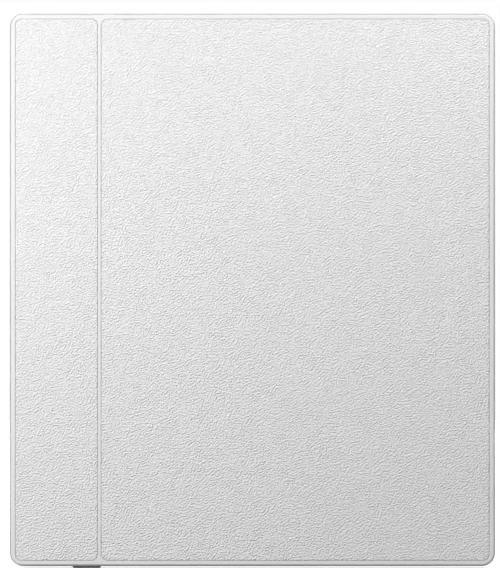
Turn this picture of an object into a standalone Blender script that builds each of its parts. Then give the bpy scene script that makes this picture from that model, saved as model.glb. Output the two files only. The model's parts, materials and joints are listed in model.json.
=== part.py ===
"""Seven-inch e-reader with a side grip, modelled upright: +Z up, screen facing -Y, back facing +Y.

The grip, with its two page keys, is on +X.  The origin is under the middle of the device, at its
lowest point.  Every size is in metres.  A "depth" is measured inwards from the outer back face and a
"height" upwards from the lower edge of the body.
"""

import math

import bmesh
import bpy
from mathutils import Matrix, Vector

MM = 0.001

# Outer body
BODY_WIDTH = 137.0 * MM
BODY_HEIGHT = 156.0 * MM
BODY_THICKNESS = 6.0 * MM
CORNER_RADIUS = 3.8 * MM
BACK_FILLET = 0.8 * MM
FRONT_FILLET = 0.5 * MM
WALL = 1.3 * MM
FLOOR_DEPTH = 1.35 * MM          # inner face of the back cover
CAVITY_RADIUS = 2.5 * MM
LENS_RIM = 1.0 * MM              # width of the cover's edge beside the lens

# How far the buttons stand proud, which sets where the body lies around the origin
BUTTON_PROUD = 0.55 * MM
KEY_PROUD = 0.4 * MM
BACK_Y = (BODY_THICKNESS + KEY_PROUD) / 2
BODY_Z = BUTTON_PROUD
RIGHT = BODY_WIDTH / 2           # grip side
LEFT = -BODY_WIDTH / 2
MID_DEPTH = BODY_THICKNESS / 2

# Clearances between neighbours
GROOVE = 0.3 * MM                # visible gap around an inlay, key or button
FILM = 0.1 * MM                  # bond line between stacked layers
LENS_GAP = 0.2 * MM
LENS_EDGE = 0.12 * MM
SCREW_CLEARANCE = 0.25 * MM
PAST = 1.0 * MM                  # how far a cutter reaches past what it cuts
PILL = 0.495                     # corner radius of a nearly round end, over its width

# Textured back inlays and the smooth rim and rib around them
RIM = 1.71 * MM                  # outer edge to the middle of a groove
RIM_NARROW_SIDE = 1.76 * MM
GRIP_INLAY_END = 24.78 * MM      # from the grip edge to the far groove of the grip inlay
RIB = 1.13 * MM                  # between the two middle grooves
INLAY_THICKNESS = 0.6 * MM
INLAY_RADIUS = 1.9 * MM
INLAY_EDGE = 0.15 * MM
RECESS_DEPTH = 0.75 * MM

# Layers, as (nearer the back, nearer the front) depths
BOARD = (2.6 * MM, 3.4 * MM)
FRAME = (3.6 * MM, 4.0 * MM)
PANEL = (4.1 * MM, 4.75 * MM)
LIGHT = (4.85 * MM, 5.2 * MM)
TOUCH = (5.3 * MM, 5.4 * MM)
SPACER = (4.15 * MM, 5.4 * MM)
LENS = (5.5 * MM, 6.0 * MM)
CELL = (1.5 * MM, 3.45 * MM)

# Mid frame and bezel spacer, and what they are cut out for
FRAME_INSET = 1.6 * MM
FRAME_RADIUS = 2.2 * MM
SWITCH_WINDOW = 6.0 * MM
USB_NOTCH = (8.6 * MM, 10.0 * MM)        # from the grip edge, and its length
SPEAKER_NOTCH = (16.2 * MM, 28.0 * MM)
BUTTON_NOTCH = (12.0 * MM, 6.0 * MM)     # width, and from the lower edge
FLEX_SLOT = (0.4 * MM, 7.4 * MM)         # from the screen's grip side
FLEX_SLOT_LENGTH = 15.0 * MM
RELIEF_DEPTH = 4.8 * MM
BUTTON_RELIEF = (3.6 * MM, 4.6 * MM)     # from the lower edge, and depth

# Screen: a 7-inch panel of 1264 by 1680 dots at 300 dots an inch
ACTIVE_WIDTH = 107.0 * MM
ACTIVE_HEIGHT = 142.24 * MM
SIDE_BEZEL = 6.5 * MM
PANEL_BORDER = 1.4 * MM
PANEL_END_BORDER = 1.6 * MM
PANEL_LEDGE = 5.1 * MM           # driver ledge on the grip side
ACTIVE_LEFT = LEFT + SIDE_BEZEL
ACTIVE_RIGHT = ACTIVE_LEFT + ACTIVE_WIDTH
ACTIVE_LOW = (BODY_HEIGHT - ACTIVE_HEIGHT) / 2
PANEL_LEFT = ACTIVE_LEFT - PANEL_BORDER
PANEL_RIGHT = ACTIVE_RIGHT + PANEL_LEDGE
PANEL_LOW = ACTIVE_LOW - PANEL_END_BORDER
PANEL_HIGH = BODY_HEIGHT - PANEL_LOW
GLASS_RADIUS = 0.3 * MM
GUIDE_SETBACK = 3.5 * MM         # the light guide stops short of the panel
STRIP_INSET = 4.0 * MM
STRIP_BACK = 5.0 * MM
DIODES = 9
FIRST_DIODE = 12.0 * MM
DIODE_PITCH = 15.1 * MM
DIODE = (1.2 * MM, 3.0 * MM)

# Ribbon from the screen to the board, and its profile as (reach past the screen, depth)
FLEX_HEIGHT = 32.0 * MM
FLEX_WIDTH = 12.0 * MM
FLEX_THICKNESS = 0.12 * MM
FLEX_PROFILE = (
    (0.15 * MM, 4.42 * MM),
    (1.05 * MM, 4.42 * MM),
    (1.65 * MM, 4.30 * MM),
    (1.95 * MM, 4.00 * MM),
    (2.25 * MM, 3.78 * MM),
    (2.75 * MM, 3.72 * MM),
)

# Page keys
KEY_X = RIGHT - 11.75 * MM
KEY_WIDTH = 5.0 * MM
KEY_LENGTH = 30.0 * MM
KEY_HEIGHTS = {"upper": 98.0 * MM, "lower": 58.0 * MM}
KEY_FLANGE = 1.1 * MM            # how far the flange reaches past the cap
KEY_BACK = 4.95 * MM
KEY_EDGE = 0.25 * MM
KEY_FLANGE_BACK = 4.85 * MM
KEY_STEM = 1.6 * MM
KEY_STEM_DEPTH = (4.5 * MM, 5.1 * MM)
TACT_SIZE = 3.6 * MM
TACT_FRONT = 3.9 * MM
TACT_RADIUS = 0.5 * MM
DOME_RADIUS = 0.8 * MM
DOME_HEIGHT = 0.3 * MM

# Power button
BUTTON_X = RIGHT - 21.67 * MM
BUTTON_WIDTH = 8.0 * MM
BUTTON_DEPTH = 2.6 * MM
BUTTON_TOP = 1.9 * MM
BUTTON_EDGE = 0.22 * MM
BUTTON_FLANGE_RADIUS = 1.0 * MM
BUTTON_FLANGE = (10.2 * MM, (1.6 * MM, 2.1 * MM), (1.65 * MM, 4.05 * MM))    # width, heights, depths
SIDE_SWITCH = (5.2 * MM, 2.75 * MM, (2.1 * MM, 3.9 * MM))                    # width, foot, depths
SIDE_SWITCH_RADIUS = 0.3 * MM
SWITCH_PIN = (1.8 * MM, (2.5 * MM, 3.0 * MM), 0.8 * MM)                      # width, heights, thickness

# Grip-edge ports, by height
USB_HEIGHT = 24.0 * MM
USB_SHELL = (7.3 * MM, 3.16 * MM, 8.94 * MM)
USB_WALL = 0.3 * MM
USB_BACK = 0.7 * MM
USB_SETBACK = 0.4 * MM           # mouth behind the grip edge
TONGUE_BASE = 1.2 * MM
TONGUE_BLADE = (5.4 * MM, 0.7 * MM, 6.7 * MM)
TONGUE_OVERLAP = 0.9 * MM
BLADE_RADIUS = 0.3 * MM
MIC_HEIGHT = 36.0 * MM
MIC_RADIUS = 0.5 * MM
TRAY_HEIGHT = 84.0 * MM
TRAY_FACE = (1.2 * MM, 2.2 * MM, 14.0 * MM)
TRAY_EDGE = 0.12 * MM
TRAY_PLATE = (17.6 * MM, 0.9 * MM, 12.6 * MM)
PLATE_RADIUS = 0.8 * MM
TRAY_DEPTH = 2.6 * MM            # middle of the plate that holds the card
CARD = (15.1 * MM, 11.1 * MM)
CARD_RADIUS = 0.5 * MM
CARD_MARGIN = 0.8 * MM           # from the plate's inner end to the card
PIN_OFFSET = 5.3 * MM
PIN_RADIUS = 0.4 * MM
PIN_LENGTH = 1.4 * MM
SOCKET = (17.6 * MM, 1.5 * MM, 14.6 * MM)
SOCKET_SETBACK = 2.4 * MM
SHEET_WALL = 0.2 * MM            # pressed metal of the socket and the shields
SPEAKER_HEIGHT = 134.5 * MM
SPEAKER_HOLES = 7
SPEAKER_PITCH = 2.4 * MM
SPEAKER_HOLE = 0.6 * MM
SPEAKER_BOX = (15.6 * MM, 2.6 * MM, 27.0 * MM)      # far side and near side from the grip edge, length
SPEAKER_DEPTH = (1.55 * MM, 4.0 * MM)
SPEAKER_RADIUS = 1.0 * MM
SPEAKER_OUTLET = (4.5 * MM, 17.0 * MM, 1.2 * MM)
SPEAKER_MESH = (2.2 * MM, 1.8 * MM, 18.4 * MM, 1.9 * MM)

# Fasteners, as (x, height)
FRAME_SCREWS = (
    (LEFT + 3.3 * MM, 26.0 * MM),
    (LEFT + 3.3 * MM, 130.0 * MM),
    (-20.0 * MM, 3.3 * MM),
    (-20.0 * MM, 152.7 * MM),
    (34.0 * MM, 3.3 * MM),
    (34.0 * MM, 152.7 * MM),
    (RIGHT - 3.9 * MM, 3.6 * MM),
    (RIGHT - 3.9 * MM, 152.4 * MM),
)
BOARD_SCREWS = (
    (35.0 * MM, 14.0 * MM),
    (47.0 * MM, 95.0 * MM),
    (37.5 * MM, 111.5 * MM),
)
SCREW_HEAD = 1.0 * MM
SCREW_SHANK = 0.6 * MM
SCREW_HEAD_HEIGHT = 0.45 * MM
SCREW_POINT = 0.2 * MM
SCREW_SLOT = (1.2 * MM, 0.5 * MM, 0.3 * MM)
FRAME_SCREW_LENGTH = 2.1 * MM
BOARD_SCREW_LENGTH = 1.4 * MM
BOSS_RADIUS = 1.55 * MM
BORE_FLOOR = 0.3 * MM            # left under a boss's bore
BORE_CLEARANCE = 0.2 * MM

# Main board
BOARD_LEFT = 30.0 * MM
BOARD_RIGHT = RIGHT - 2.1 * MM
BOARD_LOW = 5.4 * MM
BOARD_HIGH = 116.0 * MM
BOARD_RADIUS = 1.0 * MM
BOARD_USB_NOTCH = (8.4 * MM, 9.8 * MM)
BOARD_TRAY_NOTCH = (20.6 * MM, 15.6 * MM)
BOARD_PART_EDGE = 0.15 * MM

# On the back of the board: name, x, height, width, length, tallness in millimetres
CHIPS = (
    ("processor", 38.5, 66.5, 12.0, 12.0, 0.6),
    ("memory_chip", 38.5, 77.5, 11.0, 7.0, 0.6),
    ("wireless_chip", 57.5, 104.0, 7.0, 7.0, 0.6),
    ("power_chip", 38.0, 46.0, 6.0, 6.0, 0.8),
    ("motion_sensor", 52.0, 50.0, 3.0, 3.0, 0.8),
    ("lid_sensor", 61.5, 14.0, 3.0, 1.7, 0.8),
    ("microphone", 64.0, MIC_HEIGHT / MM, 2.8, 3.6, 0.9),
    ("battery_connector", 33.5, 100.5, 3.4, 7.0, 0.95),
)
SCREEN_CONNECTOR = ((3.0 * MM, 6.4 * MM), 13.2 * MM, 4.1 * MM)    # reach past the screen, length, front
SHIELDS = (
    ("processor_shield", (31.5 * MM, 45.5 * MM), (59.0 * MM, 82.5 * MM)),
    ("wireless_shield", (52.0 * MM, 63.0 * MM), (98.5 * MM, 109.5 * MM)),
)
SHIELD_BACK = 1.52 * MM
SHIELD_RADIUS = 0.6 * MM

# Battery, antenna and magnets, as limits of x, height and depth
CELL_X = (-63.5 * MM, 26.0 * MM)
CELL_Z = (32.0 * MM, 124.0 * MM)
CELL_RADIUS = 1.5 * MM
CELL_EDGE = 0.4 * MM
CELL_BOARD = ((-6.0 * MM, 26.0 * MM), (124.4 * MM, 128.0 * MM), (2.0 * MM, 2.9 * MM))
ANTENNA = ((-60.0 * MM, -20.0 * MM), (144.5 * MM, 150.5 * MM), (1.45 * MM, 1.57 * MM))
ANTENNA_RADIUS = 0.6 * MM
MAGNET_X = (1.7 * MM, 4.4 * MM)          # from the narrow edge
MAGNET_LENGTH = 12.0 * MM
MAGNET_DEPTH = (1.6 * MM, 3.3 * MM)
MAGNET_EDGE = 0.2 * MM
MAGNET_HEIGHTS = {"lower": 56.0 * MM, "upper": 100.0 * MM}

# Leads, as (x, height) along each, and their radius and depth
BATTERY_LEAD = (
    (26.4 * MM, 126.2 * MM),
    (28.6 * MM, 126.0 * MM),
    (31.0 * MM, 124.4 * MM),
    (32.6 * MM, 121.6 * MM),
    (33.4 * MM, 118.0 * MM),
    (33.5 * MM, 112.0 * MM),
    (33.5 * MM, 104.3 * MM),
)
ANTENNA_LEAD = (
    (-19.7 * MM, 147.5 * MM),
    (-6.0 * MM, 147.6 * MM),
    (14.0 * MM, 147.4 * MM),
    (26.0 * MM, 145.6 * MM),
    (35.0 * MM, 140.6 * MM),
    (42.0 * MM, 133.0 * MM),
    (47.0 * MM, 124.4 * MM),
    (50.4 * MM, 117.2 * MM),
    (54.0 * MM, 112.6 * MM),
    (56.0 * MM, 110.2 * MM),
)
BATTERY_LEAD_RADIUS = 0.45 * MM
ANTENNA_LEAD_RADIUS = 0.35 * MM
LEAD_DEPTH = 2.0 * MM

ROUND = 10                       # segments in a body corner
SMALL_ROUND = 5                  # segments in a small corner

PARTS = None
CUTTERS = None


def clear_scene():
    for obj in list(bpy.data.objects):
        bpy.data.objects.remove(obj, do_unlink=True)


def make_collection(name):
    collection = bpy.data.collections.new(name)
    bpy.context.scene.collection.children.link(collection)
    return collection


def material(name, colour, roughness, metallic=0.0):
    found = bpy.data.materials.get(name)
    if found:
        return found
    made = bpy.data.materials.new(name)
    made.use_nodes = True
    shader = made.node_tree.nodes["Principled BSDF"]
    shader.inputs["Base Color"].default_value = (*colour, 1.0)
    shader.inputs["Roughness"].default_value = roughness
    shader.inputs["Metallic"].default_value = metallic
    made.diffuse_color = (*colour, 1.0)
    return made


def part(name, mesh, place, finish):
    """A sub-part: its mesh in the parts collection, at its place."""
    mesh.name = name
    obj = bpy.data.objects.new(name, mesh)
    obj.location = place
    mesh.materials.clear()
    mesh.materials.append(finish)
    PARTS.objects.link(obj)
    return obj


def tool(name, mesh, place):
    """A cutter, or a shape that is joined to a part."""
    obj = bpy.data.objects.new(name, mesh)
    obj.location = place
    obj.hide_render = True
    obj.display_type = "WIRE"
    CUTTERS.objects.link(obj)
    return obj


def combine(obj, other, operation):
    step = obj.modifiers.new(f"{operation.lower()} {other.name}", "BOOLEAN")
    step.operation = operation
    step.solver = "EXACT"
    step.object = other


def cut(obj, *cutters):
    for cutter in cutters:
        combine(obj, cutter, "DIFFERENCE")


def join(obj, *shapes):
    for shape in shapes:
        combine(obj, shape, "UNION")


def to_mesh(bm):
    mesh = bpy.data.meshes.new("mesh")
    bmesh.ops.recalc_face_normals(bm, faces=bm.faces)
    bm.to_mesh(mesh)
    bm.free()
    mesh.shade_smooth()
    mesh.set_sharp_from_angle(angle=math.radians(35))
    return mesh


def block(size, radius=0.0, axis=1, segments=SMALL_ROUND, edge_low=0.0, edge_high=0.0, edge_segments=3):
    """A box with the four edges along one axis rounded, and its two end outlines filleted."""
    bm = bmesh.new()
    bmesh.ops.create_cube(bm, size=1.0, matrix=Matrix.Diagonal((*size, 1.0)))
    if radius:
        along = [e for e in bm.edges if abs((e.verts[0].co - e.verts[1].co)[axis]) > 0.9 * size[axis]]
        bmesh.ops.bevel(bm, geom=along, offset=radius, segments=segments, affect="EDGES", profile=0.5)
    for side, fillet in ((-1, edge_low), (1, edge_high)):
        if fillet:
            level = side * size[axis] / 2
            flat = [e for e in bm.edges if all(abs(v.co[axis] - level) < 1e-7 for v in e.verts)]
            bmesh.ops.bevel(bm, geom=flat, offset=fillet, segments=edge_segments, affect="EDGES", profile=0.5)
    return to_mesh(bm)


def rod(radius, length, axis=1, sides=16):
    """A cylinder along an axis: 0 is X and 1 is Y."""
    bm = bmesh.new()
    turn = Matrix.Rotation(math.pi / 2, 4, "YX"[axis])
    bmesh.ops.create_cone(
        bm, cap_ends=True, segments=sides, radius1=radius, radius2=radius, depth=length, matrix=turn
    )
    return to_mesh(bm)


def spot(x, height, depth):
    """A point given by x, height above the lower edge and depth from the back face."""
    return Vector((x, BACK_Y - depth, BODY_Z + height))


def span(x_range, height_range, depth_range):
    """Size and centre of the box between three pairs of limits."""
    size = (
        abs(x_range[1] - x_range[0]),
        abs(depth_range[1] - depth_range[0]),
        abs(height_range[1] - height_range[0]),
    )
    centre = spot(sum(x_range) / 2, sum(height_range) / 2, sum(depth_range) / 2)
    return size, centre


def sheet(name, finish, x_range, height_range, depth_range, radius=0.0, **rounding):
    """A part that is one rounded block between limits."""
    size, centre = span(x_range, height_range, depth_range)
    return part(name, block(size, radius, **rounding), centre, finish)


def hole(name, x_range, height_range, depth_range, radius=0.0, axis=1, segments=SMALL_ROUND):
    """A cutter that is one rounded block between limits."""
    size, centre = span(x_range, height_range, depth_range)
    return tool(name, block(size, radius, axis, segments), centre)


def around(centre, width):
    return (centre - width / 2, centre + width / 2)


# ---------------------------------------------------------------- casing


def inlay_limits():
    """The x limits, at the middle of the grooves, of the grip inlay and the main inlay."""
    grip = (RIGHT - GRIP_INLAY_END, RIGHT - RIM)
    main = (LEFT + RIM_NARROW_SIDE, RIGHT - GRIP_INLAY_END - RIB)
    return {"grip_inlay": grip, "main_inlay": main}


def make_back_cover(finish):
    size = (BODY_WIDTH, BODY_THICKNESS, BODY_HEIGHT)
    shell = block(
        size, CORNER_RADIUS, segments=ROUND, edge_low=FRONT_FILLET, edge_high=BACK_FILLET, edge_segments=4
    )
    cover = part("back_cover", shell, spot(0, BODY_HEIGHT / 2, MID_DEPTH), finish)
    past_front = BODY_THICKNESS + PAST
    inside_x = (LEFT + WALL, RIGHT - WALL)
    inside_z = (WALL, BODY_HEIGHT - WALL)
    cut(cover, hole("cavity", inside_x, inside_z, (FLOOR_DEPTH, past_front), CAVITY_RADIUS, segments=ROUND))
    lens_x = (LEFT + LENS_RIM, RIGHT - LENS_RIM)
    lens_z = (LENS_RIM, BODY_HEIGHT - LENS_RIM)
    lens_top = LENS[0] - FILM
    pocket_radius = CORNER_RADIUS - LENS_RIM
    cut(cover, hole("lens_pocket", lens_x, lens_z, (lens_top, past_front), pocket_radius, segments=ROUND))
    for name, limits in inlay_limits().items():
        x_range = (limits[0] - GROOVE / 2, limits[1] + GROOVE / 2)
        z_range = (RIM - GROOVE / 2, BODY_HEIGHT - RIM + GROOVE / 2)
        recess = hole(f"{name}_recess", x_range, z_range, (-PAST, RECESS_DEPTH), INLAY_RADIUS, segments=6)
        cut(cover, recess)
    for number, (x, height) in enumerate(FRAME_SCREWS, 1):
        length = FRAME[0] - FILM - FLOOR_DEPTH + BORE_FLOOR
        middle = FRAME[0] - FILM - length / 2
        join(cover, tool(f"boss_{number}", rod(BOSS_RADIUS, length), spot(x, height, middle)))
        bore_length = FRAME[0] - FLOOR_DEPTH
        bore_middle = FLOOR_DEPTH + BORE_FLOOR + bore_length / 2
        bore = rod(SCREW_SHANK + BORE_CLEARANCE, bore_length, sides=12)
        cut(cover, tool(f"boss_bore_{number}", bore, spot(x, height, bore_middle)))
    cut(cover, *edge_openings())


def edge_openings():
    """Cutters for the openings in the side walls: ports, button, microphone and sound holes."""
    reach = 4 * PAST
    through = (RIGHT + PAST - reach, RIGHT + PAST)
    middle = RIGHT + PAST - reach / 2
    usb_z = around(USB_HEIGHT, USB_SHELL[2] + 2 * GROOVE)
    usb_y = around(MID_DEPTH, USB_SHELL[1] + 2 * GROOVE)
    tray_z = around(TRAY_HEIGHT, TRAY_FACE[2] + 2 * GROOVE)
    tray_y = around(MID_DEPTH, TRAY_FACE[1] + 2 * GROOVE)
    button_y = around(MID_DEPTH, BUTTON_DEPTH + 2 * GROOVE)
    button_x = around(BUTTON_X, BUTTON_WIDTH + 2 * GROOVE)
    cutters = [
        hole("usb_mouth", through, usb_z, usb_y, PILL * (USB_SHELL[1] + 2 * GROOVE), axis=0, segments=8),
        hole("tray_mouth", through, tray_z, tray_y, PILL * (TRAY_FACE[1] + 2 * GROOVE), axis=0, segments=8),
        hole(
            "button_mouth", button_x, (-2 * PAST, 3 * PAST), button_y, PILL * (BUTTON_DEPTH + 2 * GROOVE),
            axis=2, segments=8,
        ),
        tool(
            "microphone_hole", rod(MIC_RADIUS, reach, axis=0, sides=12), spot(middle, MIC_HEIGHT, MID_DEPTH)
        ),
    ]
    for number in range(SPEAKER_HOLES):
        height = SPEAKER_HEIGHT + (number - (SPEAKER_HOLES - 1) / 2) * SPEAKER_PITCH
        drill = rod(SPEAKER_HOLE, reach, axis=0, sides=12)
        cutters.append(tool(f"sound_hole_{number + 1}", drill, spot(middle, height, MID_DEPTH)))
    return cutters


def make_inlays(finish):
    for name, limits in inlay_limits().items():
        x_range = (limits[0] + GROOVE / 2, limits[1] - GROOVE / 2)
        z_range = (RIM + GROOVE / 2, BODY_HEIGHT - RIM - GROOVE / 2)
        sheet(
            name, finish, x_range, z_range, (0.0, INLAY_THICKNESS), INLAY_RADIUS - GROOVE,
            segments=6, edge_high=INLAY_EDGE, edge_segments=2,
        )


# ---------------------------------------------------------------- front stack


def make_mid_frame(finish):
    """Metal plate that carries the screen on its front and the board and battery on its back."""
    x_range = (LEFT + FRAME_INSET, RIGHT - FRAME_INSET)
    z_range = (FRAME_INSET, BODY_HEIGHT - FRAME_INSET)
    frame = sheet("mid_frame", finish, x_range, z_range, FRAME, FRAME_RADIUS, segments=4)
    through = (FRAME[0] - PAST, FRAME[1] + PAST)
    for side, height in KEY_HEIGHTS.items():
        window_x, window_z = around(KEY_X, SWITCH_WINDOW), around(height, SWITCH_WINDOW)
        cut(frame, hole(f"{side}_switch_window", window_x, window_z, through))
    edge = RIGHT + PAST
    cut(frame, hole("usb_notch", (RIGHT - USB_NOTCH[0], edge), around(USB_HEIGHT, USB_NOTCH[1]), through))
    speaker_x = (RIGHT - SPEAKER_NOTCH[0], edge)
    cut(frame, hole("speaker_notch", speaker_x, around(SPEAKER_HEIGHT, SPEAKER_NOTCH[1]), through))
    button_x = around(BUTTON_X, BUTTON_NOTCH[0])
    cut(frame, hole("button_notch", button_x, (-PAST, BUTTON_NOTCH[1]), through))
    flex_x = (PANEL_RIGHT + FLEX_SLOT[0], PANEL_RIGHT + FLEX_SLOT[1])
    cut(frame, hole("flex_slot", flex_x, around(FLEX_HEIGHT, FLEX_SLOT_LENGTH), through))
    for number, (x, height) in enumerate(FRAME_SCREWS + BOARD_SCREWS, 1):
        drill = rod(SCREW_SHANK + SCREW_CLEARANCE, 3 * PAST, sides=12)
        cut(frame, tool(f"frame_hole_{number}", drill, spot(x, height, FRAME[0])))


def make_bezel_spacer(finish):
    """Moulded ring that fills the bezel under the lens, with room for the keys and screw heads."""
    x_range = (LEFT + FRAME_INSET, RIGHT - FRAME_INSET)
    z_range = (FRAME_INSET, BODY_HEIGHT - FRAME_INSET)
    spacer = sheet("bezel_spacer", finish, x_range, z_range, SPACER, FRAME_RADIUS, segments=4)
    through = (SPACER[0] - PAST, SPACER[1] + PAST)
    screen_x = (PANEL_LEFT - GROOVE, PANEL_RIGHT + GROOVE)
    screen_z = (PANEL_LOW - GROOVE, PANEL_HIGH + GROOVE)
    cut(spacer, hole("screen_window", screen_x, screen_z, through))
    for side, height in KEY_HEIGHTS.items():
        width = KEY_WIDTH + 2 * KEY_FLANGE + 2 * GROOVE
        length = KEY_LENGTH + 2 * KEY_FLANGE + 2 * GROOVE
        well = hole(f"{side}_key_well", around(KEY_X, width), around(height, length), through, PILL * width)
        cut(spacer, well)
    edge = RIGHT + PAST
    relief = (SPACER[0] - PAST, RELIEF_DEPTH)
    cut(spacer, hole("usb_relief", (RIGHT - USB_NOTCH[0], edge), around(USB_HEIGHT, USB_NOTCH[1]), relief))
    flex_x = (PANEL_RIGHT - PAST, PANEL_RIGHT + FLEX_SLOT[1])
    cut(spacer, hole("flex_relief", flex_x, around(FLEX_HEIGHT, FLEX_SLOT_LENGTH), relief))
    button_x = around(BUTTON_X, BUTTON_NOTCH[0])
    button_depth = (SPACER[0] - PAST, BUTTON_RELIEF[1])
    cut(spacer, hole("button_relief", button_x, (-PAST, BUTTON_RELIEF[0]), button_depth))
    for number, (x, height) in enumerate(FRAME_SCREWS, 1):
        drill = rod(SCREW_HEAD + SCREW_CLEARANCE, 2 * PAST, sides=12)
        cut(spacer, tool(f"head_well_{number}", drill, spot(x, height, SPACER[0])))


def make_lens(finish):
    inset = LENS_RIM + LENS_GAP
    x_range = (LEFT + inset, RIGHT - inset)
    z_range = (inset, BODY_HEIGHT - inset)
    lens = sheet(
        "cover_lens", finish, x_range, z_range, LENS, CORNER_RADIUS - inset,
        segments=8, edge_low=LENS_EDGE, edge_segments=2,
    )
    through = (LENS[0] - PAST, LENS[1] + PAST)
    for side, height in KEY_HEIGHTS.items():
        width = KEY_WIDTH + 2 * GROOVE
        length = KEY_LENGTH + 2 * GROOVE
        slot_x, slot_z = around(KEY_X, width), around(height, length)
        cut(lens, hole(f"{side}_key_slot", slot_x, slot_z, through, PILL * width, segments=10))


def make_screen(glass, film, acrylic, flex):
    panel_x = (PANEL_LEFT, PANEL_RIGHT)
    panel_z = (PANEL_LOW, PANEL_HIGH)
    sheet("epaper_panel", glass, panel_x, panel_z, PANEL, GLASS_RADIUS, segments=2)
    guide_right = PANEL_RIGHT - GUIDE_SETBACK
    sheet("light_guide", acrylic, (PANEL_LEFT, guide_right), panel_z, LIGHT, GLASS_RADIUS, segments=2)
    sheet("touch_film", film, panel_x, panel_z, TOUCH, GLASS_RADIUS, segments=2)
    strip_x = (guide_right + GROOVE, PANEL_RIGHT)
    strip_z = (PANEL_LOW + STRIP_INSET, PANEL_HIGH - STRIP_INSET)
    strip = sheet("light_strip", flex, strip_x, strip_z, (STRIP_BACK, LIGHT[1]))
    diode_x = (strip_x[0], strip_x[0] + DIODE[0])
    for number in range(DIODES):
        height = PANEL_LOW + FIRST_DIODE + number * DIODE_PITCH
        diode, place = span(diode_x, around(height, DIODE[1]), (LIGHT[0], STRIP_BACK + FILM))
        join(strip, tool(f"diode_{number + 1}", block(diode), place))


def make_screen_flex(finish):
    """The ribbon from the screen's ledge, through the frame, to its connector on the board."""
    bm = bmesh.new()
    rows = []
    for reach, depth in FLEX_PROFILE:
        low = bm.verts.new(spot(PANEL_RIGHT + reach, FLEX_HEIGHT - FLEX_WIDTH / 2, depth))
        high = bm.verts.new(spot(PANEL_RIGHT + reach, FLEX_HEIGHT + FLEX_WIDTH / 2, depth))
        rows.append((low, high))
    for (low, high), (next_low, next_high) in zip(rows, rows[1:]):
        bm.faces.new((low, high, next_high, next_low))
    ribbon = part("screen_flex", to_mesh(bm), (0, 0, 0), finish)
    thick = ribbon.modifiers.new("thickness", "SOLIDIFY")
    thick.thickness = FLEX_THICKNESS
    thick.offset = 0.0
    thick.use_even_offset = True


# ---------------------------------------------------------------- controls


def make_page_keys(finish, switch_finish):
    for side, height in KEY_HEIGHTS.items():
        cap_depth = (KEY_BACK, BODY_THICKNESS + KEY_PROUD)
        key = sheet(
            f"{side}_page_key", finish, around(KEY_X, KEY_WIDTH), around(height, KEY_LENGTH), cap_depth,
            PILL * KEY_WIDTH, segments=8, edge_low=KEY_EDGE, edge_segments=3,
        )
        width = KEY_WIDTH + 2 * KEY_FLANGE
        length = KEY_LENGTH + 2 * KEY_FLANGE
        flange_depth = (KEY_FLANGE_BACK, LENS[0] - FILM)
        flange, place = span(around(KEY_X, width), around(height, length), flange_depth)
        join(key, tool(f"{side}_key_flange", block(flange, PILL * width), place))
        stem, place = span(around(KEY_X, KEY_STEM), around(height, KEY_STEM), KEY_STEM_DEPTH)
        join(key, tool(f"{side}_key_stem", block(stem), place))
        make_tact_switch(f"{side}_key_switch", height, switch_finish)


def make_tact_switch(name, height, finish):
    x_range, z_range = around(KEY_X, TACT_SIZE), around(height, TACT_SIZE)
    depth_range = (BOARD[1] + FILM, TACT_FRONT)
    switch = sheet(name, finish, x_range, z_range, depth_range, TACT_RADIUS, segments=2)
    dome = rod(DOME_RADIUS, DOME_HEIGHT)
    join(switch, tool(f"{name}_dome", dome, spot(KEY_X, height, TACT_FRONT)))


def make_power_button(finish, switch_finish):
    cap_z = (-BUTTON_PROUD, BUTTON_TOP)
    size, place = span(around(BUTTON_X, BUTTON_WIDTH), cap_z, around(MID_DEPTH, BUTTON_DEPTH))
    cap = block(size, PILL * BUTTON_DEPTH, axis=2, segments=8, edge_low=BUTTON_EDGE, edge_segments=3)
    button = part("power_button", cap, place, finish)
    width, heights, depths = BUTTON_FLANGE
    size, place = span(around(BUTTON_X, width), heights, depths)
    join(button, tool("button_flange", block(size, BUTTON_FLANGE_RADIUS, axis=2, segments=3), place))
    width, foot, depths = SIDE_SWITCH
    size, place = span(around(BUTTON_X, width), (foot, BOARD_LOW - FILM), depths)
    switch = part("power_switch", block(size, SIDE_SWITCH_RADIUS, axis=1, segments=2), place, switch_finish)
    width, heights, thickness = SWITCH_PIN
    size, place = span(around(BUTTON_X, width), heights, around(MID_DEPTH, thickness))
    join(switch, tool("power_switch_pin", block(size), place))


# ---------------------------------------------------------------- board and ports


def make_main_board(finish):
    x_range, z_range = (BOARD_LEFT, BOARD_RIGHT), (BOARD_LOW, BOARD_HIGH)
    board = sheet("main_board", finish, x_range, z_range, BOARD, BOARD_RADIUS, segments=3)
    through = (BOARD[0] - PAST, BOARD[1] + PAST)
    edge = RIGHT + PAST
    notches = {"usb": (USB_HEIGHT, BOARD_USB_NOTCH), "tray": (TRAY_HEIGHT, BOARD_TRAY_NOTCH)}
    for name, (height, (reach, length)) in notches.items():
        cut(board, hole(f"board_{name}_notch", (RIGHT - reach, edge), around(height, length), through))
    for number, (x, height) in enumerate(BOARD_SCREWS, 1):
        drill = rod(SCREW_SHANK + SCREW_CLEARANCE, 3 * PAST, sides=12)
        cut(board, tool(f"board_hole_{number}", drill, spot(x, height, BOARD[0])))


def make_chips(package, plastic):
    """Square packages and connectors on the board."""
    back = BOARD[0] - FILM
    for name, x, height, width, length, tallness in CHIPS:
        x_range = around(x * MM, width * MM)
        z_range = around(height * MM, length * MM)
        finish = plastic if name.endswith("connector") else package
        sheet(name, finish, x_range, z_range, (back - tallness * MM, back), BOARD_PART_EDGE, segments=1)
    reach, length, front = SCREEN_CONNECTOR
    connector_x = (PANEL_RIGHT + reach[0], PANEL_RIGHT + reach[1])
    connector_depth = (BOARD[1] + FILM, front)
    sheet("screen_connector", plastic, connector_x, around(FLEX_HEIGHT, length), connector_depth)


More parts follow.
